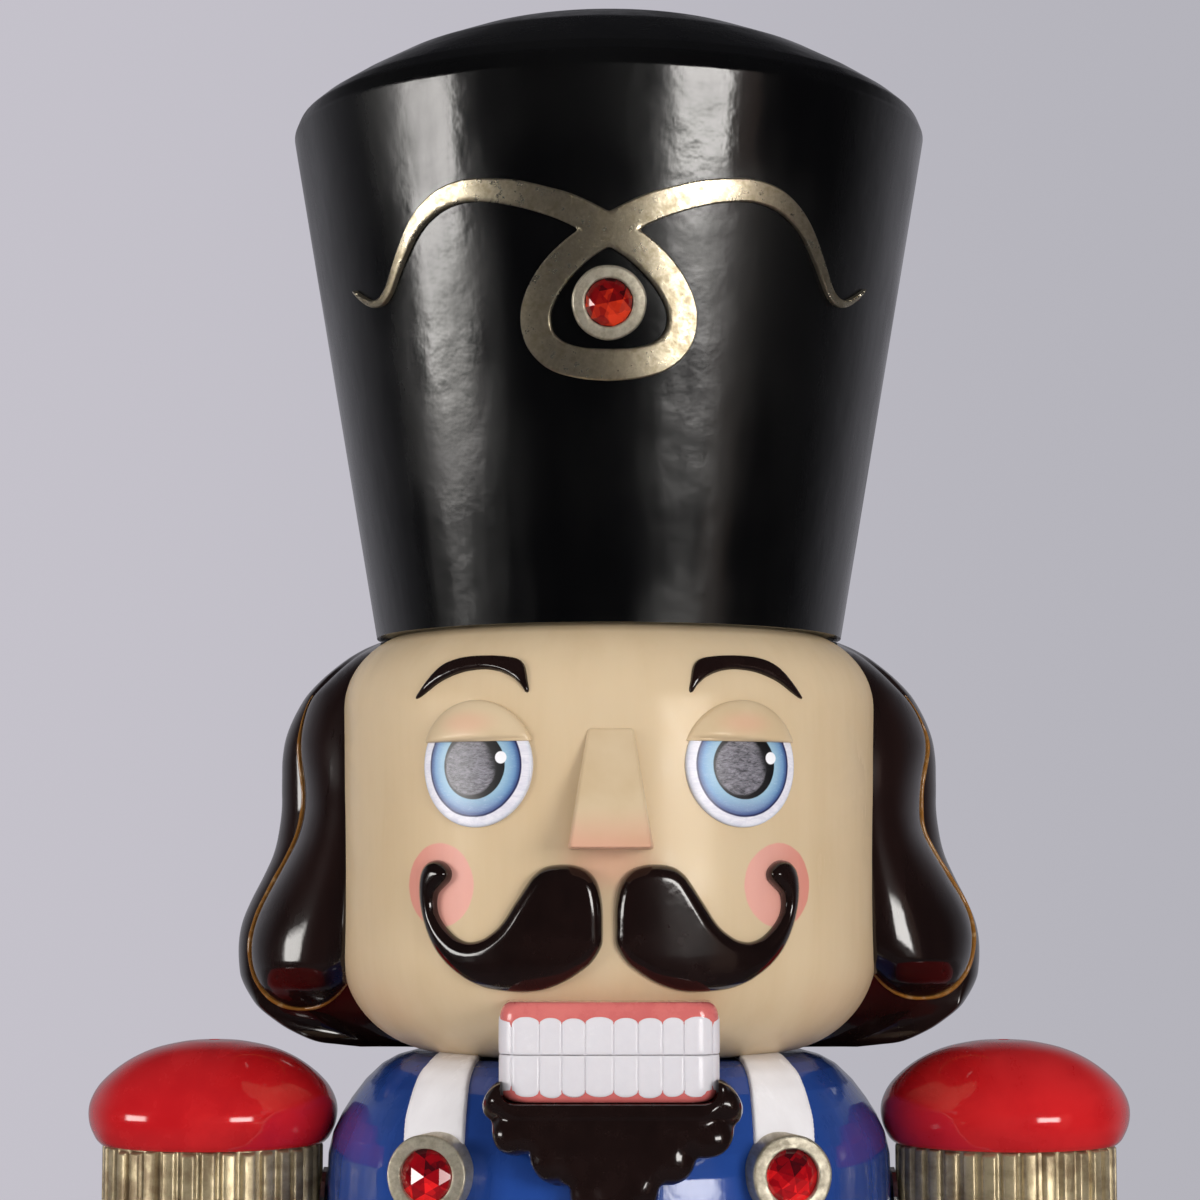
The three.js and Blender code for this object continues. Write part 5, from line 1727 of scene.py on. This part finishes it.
def foot_ring(mid, scale, z):
    """Boot outline at one height: a superellipse, narrowed at the waist and heel of the sole."""
    toe, heel = np.interp(z, *BOOT_TOE), np.interp(z, *BOOT_HEEL)
    half, power = np.interp(z, *BOOT_HALF), 2 / np.interp(z, *BOOT_SQUARE)
    angles = np.arange(BOOT_SEGMENTS) * TAU / BOOT_SEGMENTS
    cos, sin = np.cos(angles), np.sin(angles)
    x = half * np.sign(sin) * np.abs(sin) ** power
    y = (toe + heel) / 2 - (heel - toe) / 2 * np.sign(cos) * np.abs(cos) ** power
    low = unit((230 - z) / 120)
    waist = (1 - 0.085 * low * np.exp(-((y + 18) / 30.0) ** 2)
             - 0.10 * low * np.exp(-((y - 50) / 30.0) ** 2))
    return np.stack([mid + x * waist * scale, y * (1 + (scale - 1) * 0.4),
                     np.full(BOOT_SEGMENTS, float(z))], 1)


def instep_seam(mid):
    """Path of a raised line over the instep."""
    path = []
    for q in np.linspace(-1, 1, 60):
        ring = foot_ring(mid, 1.0, 168 + 30 * (1 - q * q))
        place = (math.pi * 0.5 * q % TAU) / TAU * BOOT_SEGMENTS
        i = int(place) % BOOT_SEGMENTS
        part = place - int(place)
        path.append(ring[i] * (1 - part) + ring[(i + 1) % BOOT_SEGMENTS] * part)
    return path


def boot(side):
    low, high = node_box("boot_" + side)
    mid, sole_z = (low[0] + high[0]) / 2, low[2]
    levels = np.concatenate([np.linspace(109.4, 120, 4), np.linspace(124, 236, 30),
                             np.linspace(244, 404, 22)])
    upper = loft("boot_upper", [foot_ring(mid, 0.965, 108.6)]
                 + [foot_ring(mid, 1.0 - 0.02 * max(0, (112 - z) / 4), z) for z in levels]
                 + [foot_ring(mid, 0.998, 410)], 50)
    cuff = revolve("boot_cuff", BOOT_CUFF, 110, (mid, 0), closed=True, sharp=50)
    piping = tube("boot_piping_" + side, circle(mid, 68.4, 402.4), 1.9, closed=True)
    sole = loft("sole", [foot_ring(mid, scale, sole_z + rise) for scale, rise in WELT], 40)
    seam = tube("seam", instep_seam(mid), 1.5)
    dress(join("boot_" + side, [upper, cuff, sole, seam]), "figure", BOOT_BLACK, "boot_" + side)
    dress(piping, "figure", GOLD)


for side, sign in SIDES:
    trouser_leg(side, sign)
for side, sign in SIDES:
    boot(side)


# ---------------------------------------------------------------- base
def slab(name, low, high, radius, moulding):
    """A rounded rectangle run up a moulding of (inset, z)."""
    mid_x, mid_y = (low[0] + high[0]) / 2, (low[1] + high[1]) / 2
    half_x, half_y = (high[0] - low[0]) / 2, (high[1] - low[1]) / 2
    rings = []
    for inset, z in moulding:
        outline = round_rect(half_x - inset, half_y - inset, mid_x, mid_y, radius - inset, 12)
        rings.append(np.column_stack([outline, np.full(len(outline), z)]))
    return loft(name, rings, 40)


low, high = node_box("base_plinth")
foot, top = low[2], high[2]
moulding = rounded(
    [(2, foot), (0.2, foot + 1), (0, foot + 4), (0, foot + 16), (3, foot + 20), (7, foot + 24),
     (8.2, foot + 32), (8.2, top - 26), (5, top - 20), (1.2, top - 16), (0.2, top - 12),
     (0.4, top - 4), (3, top - 0.6), (9, top)],
    [0, 0.6, 1, 3, 3, 3, 6, 6, 3, 3, 3, 3, 2, 0], 4)
dress(slab("base_plinth", low, high, 40, moulding), "figure", BASE_BLACK, "base_plinth")
low, high = node_box("base_cap")
foot, top = low[2], high[2]
moulding = rounded(
    [(3, foot), (0.4, foot + 1.2), (0, foot + 4), (0.2, foot + 8), (2.2, foot + 11),
     (4, foot + 13.6), (8, top - 0.4), (14, top)], [0, 1, 2, 2, 2, 2, 2, 0], 4)
dress(slab("base_cap", low, high, 30, moulding), "figure", GOLD, "base_cap")

# ---------------------------------------------------------------- arms
# turned profiles of r and height above the shoulder axis
EPAULETTE = np.vstack([
    [(0, 38.5), (50, 38.5), (62.5, 38.4)],
    catmull([(66, 38.9), (68.8, 42), (72.2, 49.5), (73.2, 57.5), (71.6, 65), (66.8, 73.2),
             (58, 81.6), (47, 88.8), (34, 94.2), (18, 97.7), (7, 98.6)], 6),
    [(3.2, 98.7), (2.8, 98.2), (1.6, 98), (0, 98.1)]])
SLEEVE = rounded(
    [(0, 38.1), (56, 38.1), (60, 36), (60, -58), (58.6, -120), (57.2, -158), (58.4, -168),
     (56.2, -178), (57.2, -188), (54.8, -200), (54, -240), (53.2, -262), (52, -265),
     (0, -265)], [0, 0, 2, 40, 40, 8, 6, 6, 6, 12, 40, 2, 1, 0], 4)
CUFF = rounded(
    [(0, -265.2), (53.4, -265.2), (57, -266.4), (59, -270), (58.2, -276), (57, -279),
     (57.4, -300), (56.4, -334), (58.4, -337), (58.4, -342), (56, -345), (44, -345),
     (42, -341), (0, -341)], [0, 0, 2, 3, 3, 2, 30, 2, 2, 2, 2, 1, 2, 0], 4)
CUFF_BUTTON = rounded([(0, 5), (4.5, 4.6), (8.4, 3), (9.6, 0.6), (9.6, -3), (0, -3)],
                      [0, 3, 3, 1, 0, 0], 4)
CORDS = 34                      # cords in each fringe
fringe_rng = np.random.default_rng(21)


def fringe(side, body, mid):
    """Square-shouldered cords, each a little different."""
    widths = fringe_rng.uniform(-0.05, 0.05, CORDS)
    heights = fringe_rng.uniform(-0.45, 0.35, CORDS)
    ends = fringe_rng.uniform(-1.3, 0.9, CORDS)

    def cord(angles, r, z):
        turn = angles * CORDS / TAU
        k = np.floor(turn).astype(int) % CORDS
        t = (turn - np.floor(turn)) * 2 - 1
        width = 0.60 + widths[k]
        ease = unit((np.abs(t) - width) / 0.16)
        groove = ease * ease * (3 - 2 * ease)
        crown = 0.35 * (1 - unit(np.abs(t) / width) ** 3)
        top = unit((z - (36.2 + ends[k])) / 2.0)
        bottom = unit((-43.4 + 1.2 * ends[k] - z) / 2.2)
        taper = 1 - (1 - dome(top)) * 0.9 - (1 - dome(bottom)) * 0.9
        rib = 61.6 + (2.9 + 0.5 * heights[k] + crown) * (1 - groove) * taper
        return np.where(r > 61, rib + (r - 62.0), r)

    levels = np.concatenate([[-46, -45.4, -44.8, -44, -43, -41.5], np.linspace(-38, 34, 12),
                             [35, 35.8, 36.6, 37.2, 37.8, 38.2]])
    profile = ([(55, -46), (60, -46.2)] + [(62, z) for z in levels] + [(60, 38.3), (55, 38.3)])
    obj = revolve("fringe_" + side, profile, CORDS * 14, (mid, 0), closed=True, vary=cord,
                  sharp=60)
    move(obj, Matrix.Translation((0, 0, ARM_Z * MM)))
    dress(obj, body, FRINGE_GOLD, "fringe_" + side)


def cuff_trim(side, sign, body, mid):
    """Two rings of braid and a button on the outer front of the cuff."""
    for suffix, z in (("a", -281.5), ("b", -331.0)):
        braid = tube(f"cuff_braid_{side}_{suffix}", circle(mid, 57.6, ARM_Z + z), 2.0,
                     closed=True)
        dress(braid, body, GOLD)
    button = revolve("cuff_button_" + side, CUFF_BUTTON, 48, sharp=50)
    angle = math.radians(62) * sign
    normal = Vector((math.sin(angle), -math.cos(angle), 0))
    place = ((mid + 57.0 * normal.x) * MM, 57.0 * normal.y * MM, (ARM_Z - 306) * MM)
    move(button, Matrix.Translation(place)
         @ normal.to_track_quat("Z", "Y").to_matrix().to_4x4())
    dress(button, body, RING_GOLD)


def hand(side, sign, body, mid):
    """Gloved fist: a palm, four curled fingers at the front and a thumb across them."""
    blobs = []

    def blob(x, y, z, size_x, size_y, size_z, tilt=0.0):
        ball = arc(0, 0, 1, 1, -90, 90, 14)
        ball[:, 0] = np.maximum(ball[:, 0], 0)
        obj = revolve("blob", ball, 24)
        move(obj, Matrix.Translation((x * MM, y * MM, z * MM)) @ Matrix.Rotation(tilt, 4, "Y")
             @ Matrix.Diagonal((size_x, size_y, size_z, 1)))
        blobs.append(obj)

    wrist = ARM_Z - 345.0
    blob(mid, 2, wrist - 8, 31, 33, 22)
    blob(mid, 4, wrist - 40, 33, 34, 42)
    for k, curl in enumerate([3, 0, 1, 5] if sign > 0 else [5, 1, 0, 3]):
        x = mid + (-22.5 + 15 * k)
        blob(x, -24 + curl * 0.6, wrist - 48, 8.6, 13, 15)
        blob(x, -20 + curl * 0.6, wrist - 66, 8.6, 17, 12)
        blob(x, -6, wrist - 74, 8.4, 15, 11)
    blob(mid - sign * 27, -22, wrist - 38, 9.6, 14, 20, 0.25 * sign)
    blob(mid - sign * 19, -34, wrist - 50, 14, 8.4, 9.2, 0.5 * sign)
    fist = join("hand_" + side, blobs)
    remesh(fist, 2.0, 5)
    dress(fist, body, WHITE, "hand_" + side)


for side, sign in SIDES:
    body = side + "_arm"
    low, high = node_box("epaulette_" + side)
    mid = (low[0] + high[0]) / 2
    raise_by = np.array([0, ARM_Z])
    dress(revolve("epaulette_" + side, EPAULETTE + raise_by, 128, (mid, 0), sharp=60),
          body, RED, "epaulette_" + side)
    fringe(side, body, mid)
    dress(revolve("sleeve_" + side, densify(SLEEVE[::-1], 10) + raise_by, 120, (mid, 0),
                  sharp=55), body, BLUE, "sleeve_" + side)
    dress(revolve("cuff_" + side, CUFF[::-1] + raise_by, 120, (mid, 0), sharp=50),
          body, RED, "cuff_" + side)
    cuff_trim(side, sign, body, mid)
    hand(side, sign, body, mid)

# ---------------------------------------------------------------- jaw: beard and handle
# outline of the beard from the front: x, z
BEARD = [
    (-40, 1284.5), (0, 1285.5), (40, 1284.5), (56, 1283.5), (65, 1279.5), (70.4, 1272.6),
    (72, 1266.2), (69.8, 1260.4), (67.2, 1258.4), (67.1, 1254.5), (65, 1248.2),
    (59.8, 1243), (53.4, 1241.2), (48.2, 1241.2), (46.9, 1240.8), (46.3, 1237.5),
    (42.6, 1231.2), (35.2, 1227.1), (28.8, 1226.9), (27.2, 1226.2), (27, 1222),
    (25, 1214), (19, 1208.6), (14, 1208), (13, 1203), (9, 1196.5), (2.5, 1193.6),
    (-4, 1196.5), (-8, 1203), (-9.5, 1208), (-14, 1208.8), (-19.6, 1214), (-21.6, 1220),
    (-21.8, 1226.6), (-23, 1227.3), (-24.4, 1226), (-31.3, 1226.6), (-37.8, 1230.6),
    (-42, 1237.6), (-43.2, 1243), (-44.2, 1243.6), (-47.4, 1242.2), (-53.9, 1242.3),
    (-60.2, 1246), (-63, 1253.4), (-63.1, 1259.9), (-63.6, 1261.2), (-66.8, 1263.5),
    (-68.4, 1269.4), (-65.2, 1276.8), (-58, 1282)]
# round bulbs: x, z, radius
LOBES = [(-59, 1271.5, 9.6), (-51.5, 1254, 12.2), (-31.5, 1240.5, 12.8), (-10.5, 1222, 12),
         (62, 1269.5, 10.2), (53.5, 1252, 14.2), (33, 1240, 13.6), (14.8, 1225, 13),
         (2.5, 1204, 10.8)]
# the level middle: x, z
CORE = np.array([(-54, 1282), (54, 1282), (52, 1268), (42, 1254), (25, 1240), (8, 1216),
                 (2.5, 1208), (-3, 1216), (-21, 1240), (-42, 1254), (-50, 1268)])


def beard_height(points, edge, swell):
    """A level middle with a full round bulb at each lobe; the upper edge rolls over under
    the gum."""
    x, z = points.T
    out = np.where(poly_inside(points, [CORE]), 0.0, poly_dist(points, [CORE]))
    bulbs = [5.5 + np.sqrt(np.clip(11.5 ** 2 - out ** 2, 0, None))]
    for lobe_x, lobe_z, radius in LOBES:
        away = ((x - lobe_x) ** 2 + (z - lobe_z) ** 2) / (radius * radius)
        top = 17.5 if radius > 11.5 else 15.5
        bulbs.append(top - 12.0 + 12.0 * np.sqrt(np.clip(1 - away, 0, None)))
    bulbs = np.array(bulbs)
    highest = bulbs.max(0)
    blend = 0.9                 # how softly the bulbs run together
    height = (highest + blend * np.log(np.exp((bulbs - highest) / blend).sum(0))
              - blend * math.log(2))
    near = np.hypot(np.maximum(np.abs(x) - (BLOCK_HALF - 9.0), 0),
                    np.maximum(GUM_LOW + 9.0 - z, 0)) - 9.0
    roll = 3.6 * (1 - dome(1 - unit(near / 4.5)))
    ridge = 0.8 * np.exp(-((near - 5.5) / 2.2) ** 2)
    return (height * np.sqrt(1 - np.exp(-(swell / 3.5) ** 2))
            + (ridge - roll) * unit(swell / 6.0))


beard = relief("beard", [catmull(BEARD, 3, True)],
               lambda x, z, h: np.stack([x, -166.0 - h, z], -1),
               beard_height, step=1.6, rings=(0.4, 1.0, 2.0), embed=21.0)
remesh(beard, 1.1, 3)
# room for the torso behind it and the tooth block above
subtract(beard, revolve("cut", [(0, 1100), (169, 1100)]
                        + [(r + 3.0, z) for r, z in torso_side[1:-1]]
                        + [(60, 1292), (0, 1292)], 120))
half = BLOCK_HALF + 0.8
tooth_room = rounded([(-half, 1310), (-half, GUM_LOW - 0.5), (half, GUM_LOW - 0.5),
                      (half, 1310), (-half, 1310), (-half, GUM_LOW)],
                     [0, 8.5, 8.5, 0, 0, 0], 8)[:-1]
subtract(beard, extrude_outline("cut", resample(tooth_room, 2.0, True),
                                lambda u, v, depth: (u, depth, v), -235.0, -140.0))
shade_smooth(beard, 50)
dress(beard, "jaw", FACE_BROWN, "beard")

# handle behind the back: a turned-out paddle, drawn from the side as y, z
HANDLE = [(172.2, 1131), (188, 1128), (192, 1100), (193, 1040), (199, 980), (214, 948),
          (205, 938), (190, 946), (178, 985), (173.5, 1040), (172.2, 1090)]
handle_low, handle_high = node_box("jaw_handle")
half = (handle_high[0] - handle_low[0]) / 2
handle_side = rounded(HANDLE + HANDLE[:2], [0, 5, 9, 30, 24, 5, 6, 12, 20, 20, 10, 2, 0],
                      5)[1:-1]
handle = extrude_outline("jaw_handle", resample(handle_side, 3.0, True),
                         lambda u, v, depth: (depth, u, v), -half, half)
bevel(handle, 3.2, 50)
dress(handle, "jaw", BLUE, "jaw_handle")
# gold line round its rear face: x, y, z down one side and up the other
line_down = [(half - 7, 189.8, 1118), (half - 7, 192.6, 1095), (half - 7, 193.2, 1040),
             (half - 7, 198, 988), (half - 12, 203.5, 971)]
handle_line = ([(-x, y, z) for x, y, z in line_down] + [(0, 206, 965.5)] + line_down[::-1]
               + [(0, 188.6, 1123)])
dress(tube("jaw_handle_line", np.array(handle_line) + (0, 0.2, 0), 1.2, closed=True),
      "jaw", GOLD)

# ---------------------------------------------------------------- carried-over hardware
HARDWARE = (
    (("tie_rod", "shoulder_bolt", "jaw_bracket", "jaw_pin", "jaw_lever"), STEEL),
    (("pelvis_board", "torso_shelf", "hat_board"), WOOD))
for name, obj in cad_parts.items():
    for prefixes, material in HARDWARE:
        if name.startswith(prefixes):
            obj.data.materials.clear()
            obj.data.materials.append(material)


# ---------------------------------------------------------------- stage: floor, light, camera
def stage_floor():
    """A pale disc that fades out at its rim and looks dark in reflections."""
    net = Net("studio_floor")
    place = net.position()
    distance = net.vector_math("LENGTH", place).out(1)
    mottle = net.noise(place, 3.0, 5.0, 0.6)
    paint = mottle.ramp(0.3, 0.7).blend((205, 203, 206), (196, 194, 198))
    glossy = net.add("LightPath").out("Is Glossy Ray")
    solid = net.add("BsdfPrincipled", Base_Color=glossy.blend(paint, (70, 69, 72)),
                    Roughness=0.6, Emission_Color=lin((190, 188, 193)),
                    Emission_Strength=0.30 - glossy * 0.29)
    clear = net.add("BsdfTransparent")
    net.add("OutputMaterial", net.add("MixShader", distance.ramp(2.2, 4.6), solid, clear))
    segments, radius, z = 96, 5000, -0.6
    rim = [(radius * math.cos(TAU * i / segments), radius * math.sin(TAU * i / segments), z)
           for i in range(segments)]
    floor = add_object("floor", raw_mesh("floor", [(0, 0, z)] + rim,
                                         [(0, 1 + i, 1 + (i + 1) % segments)
                                          for i in range(segments)]))
    floor.data.materials.append(net.owner)


def softbox(name, at, aim, width, height, power):
    """An area light; places in metres, power in watts."""
    light = bpy.data.lights.new(name, "AREA")
    light.shape = "RECTANGLE"
    light.size, light.size_y = width, height
    light.energy = power
    light.color = (1.0, 0.985, 0.97)
    obj = add_object(name, light)
    obj.location = at
    obj.rotation_euler = (Vector(aim) - Vector(at)).to_track_quat("-Z", "Y").to_euler()
    obj.visible_glossy = False      # the varnish mirrors the panes of the studio world instead


WALL_LEFT, WALL_RIGHT = (197, 194, 203), (180, 179, 187)
FILL, GLOSS = 1.42, 0.9                         # strength of diffuse light and of reflections
PANE_RIGHT, PANE_LEFT, PANE_LOW = 15.0, 11.5, 0.5       # strength of the mirrored softboxes


def studio_world():
    net = Net("studio_world", bpy.data.worlds)
    direction = net.position("Generated")
    x, y, z = direction.split()
    rays = net.add("LightPath")
    # what the camera sees: a pale wall, a touch lighter to the left of the picture
    wall = x.ramp(-0.25, 0.25).blend(WALL_LEFT, WALL_RIGHT)
    # what the varnish sees: pale walls behind and beside the figure, a dark room in front
    pale = y.ramp(0.0, 0.75) * z.ramp(0.62, 0.20) * z.ramp(-0.75, -0.1, 0.55, 1.0)
    room = pale.blend((28, 28, 31), (146, 145, 151))
    fill = z.ramp(-0.6, 0.8).blend((120, 117, 116), (170, 169, 172))
    # two softboxes at head height and a brown panel, placed by degrees round and up
    degrees = 57.2958
    round_by = x.math("ARCTAN2", y * -1.0) * degrees
    up_by = z.math("ARCSINE") * degrees

    def pane(left, right, low, high, soft_side, soft_low, soft_top=1.5):
        across = (round_by.ramp(left - soft_side, left + soft_side)
                  * round_by.ramp(right + soft_side, right - soft_side))
        return across * (up_by.ramp(low - soft_low, low + soft_low)
                         * up_by.ramp(high + soft_top, high - soft_top))

    stretched = net.vector_math("MULTIPLY", direction, (9.0, 9.0, 30.0))
    broken = net.noise(stretched, 1.0, 3.0, 0.6).ramp(0.54, 0.66)
    boxes = (pane(23.0, 43.0, -6.0, 5.0, 2.2, 1.5, 3.4) * PANE_RIGHT
             + pane(-79.5, -57.0, -6.0, 5.0, 3.0, 1.5, 2.6) * PANE_LEFT)
    below = (pane(25.0, 41.0, -15.0, -7.0, 2.5, 2.0)
             + pane(-80.0, -58.0, -15.0, -7.0, 3.0, 2.0))
    boxes = boxes + below * (broken * PANE_LOW)
    brown = pane(43.5, 55.0, -30.0, 12.0, 1.5, 4.0).blend(room, (140, 116, 104))
    mirrored = net.add("AddShader", net.add("Background", brown, GLOSS),
                       net.add("Background", lin((255, 252, 248)), boxes))
    unseen = net.add("MixShader", rays.out("Is Glossy Ray"),
                     net.add("Background", fill, FILL), mirrored)
    net.add("OutputWorld", net.add("MixShader", rays.out("Is Camera Ray"), unseen,
                                   net.add("Background", wall, 1.0)))
    scene.world = net.owner


stage_floor()
studio_world()
softbox("softbox_right", (1.12, -1.88, 1.66), (0, 0, 1.40), width=0.72, height=0.60, power=22.5)
softbox("softbox_left", (-1.97, -0.96, 1.66), (0, 0, 1.40), width=0.75, height=0.60, power=17.5)
softbox("fill_front", (0.1, -2.7, 0.95), (0, 0, 1.15), width=1.8, height=1.2, power=7.5)

# the camera looks slightly up at the head from the front; its place is in metres
lens = bpy.data.cameras.new("camera")
lens.sensor_width = 36.0
lens.lens = 87.72
camera = add_object("camera", lens)
camera.location = (-0.0012, -1.754, 1.400)
camera.rotation_euler = (math.radians(90 + 5.08), 0, math.radians(0.135))
scene.camera = camera
scene.view_settings.view_transform = "Standard"
scene.view_settings.look = "None"
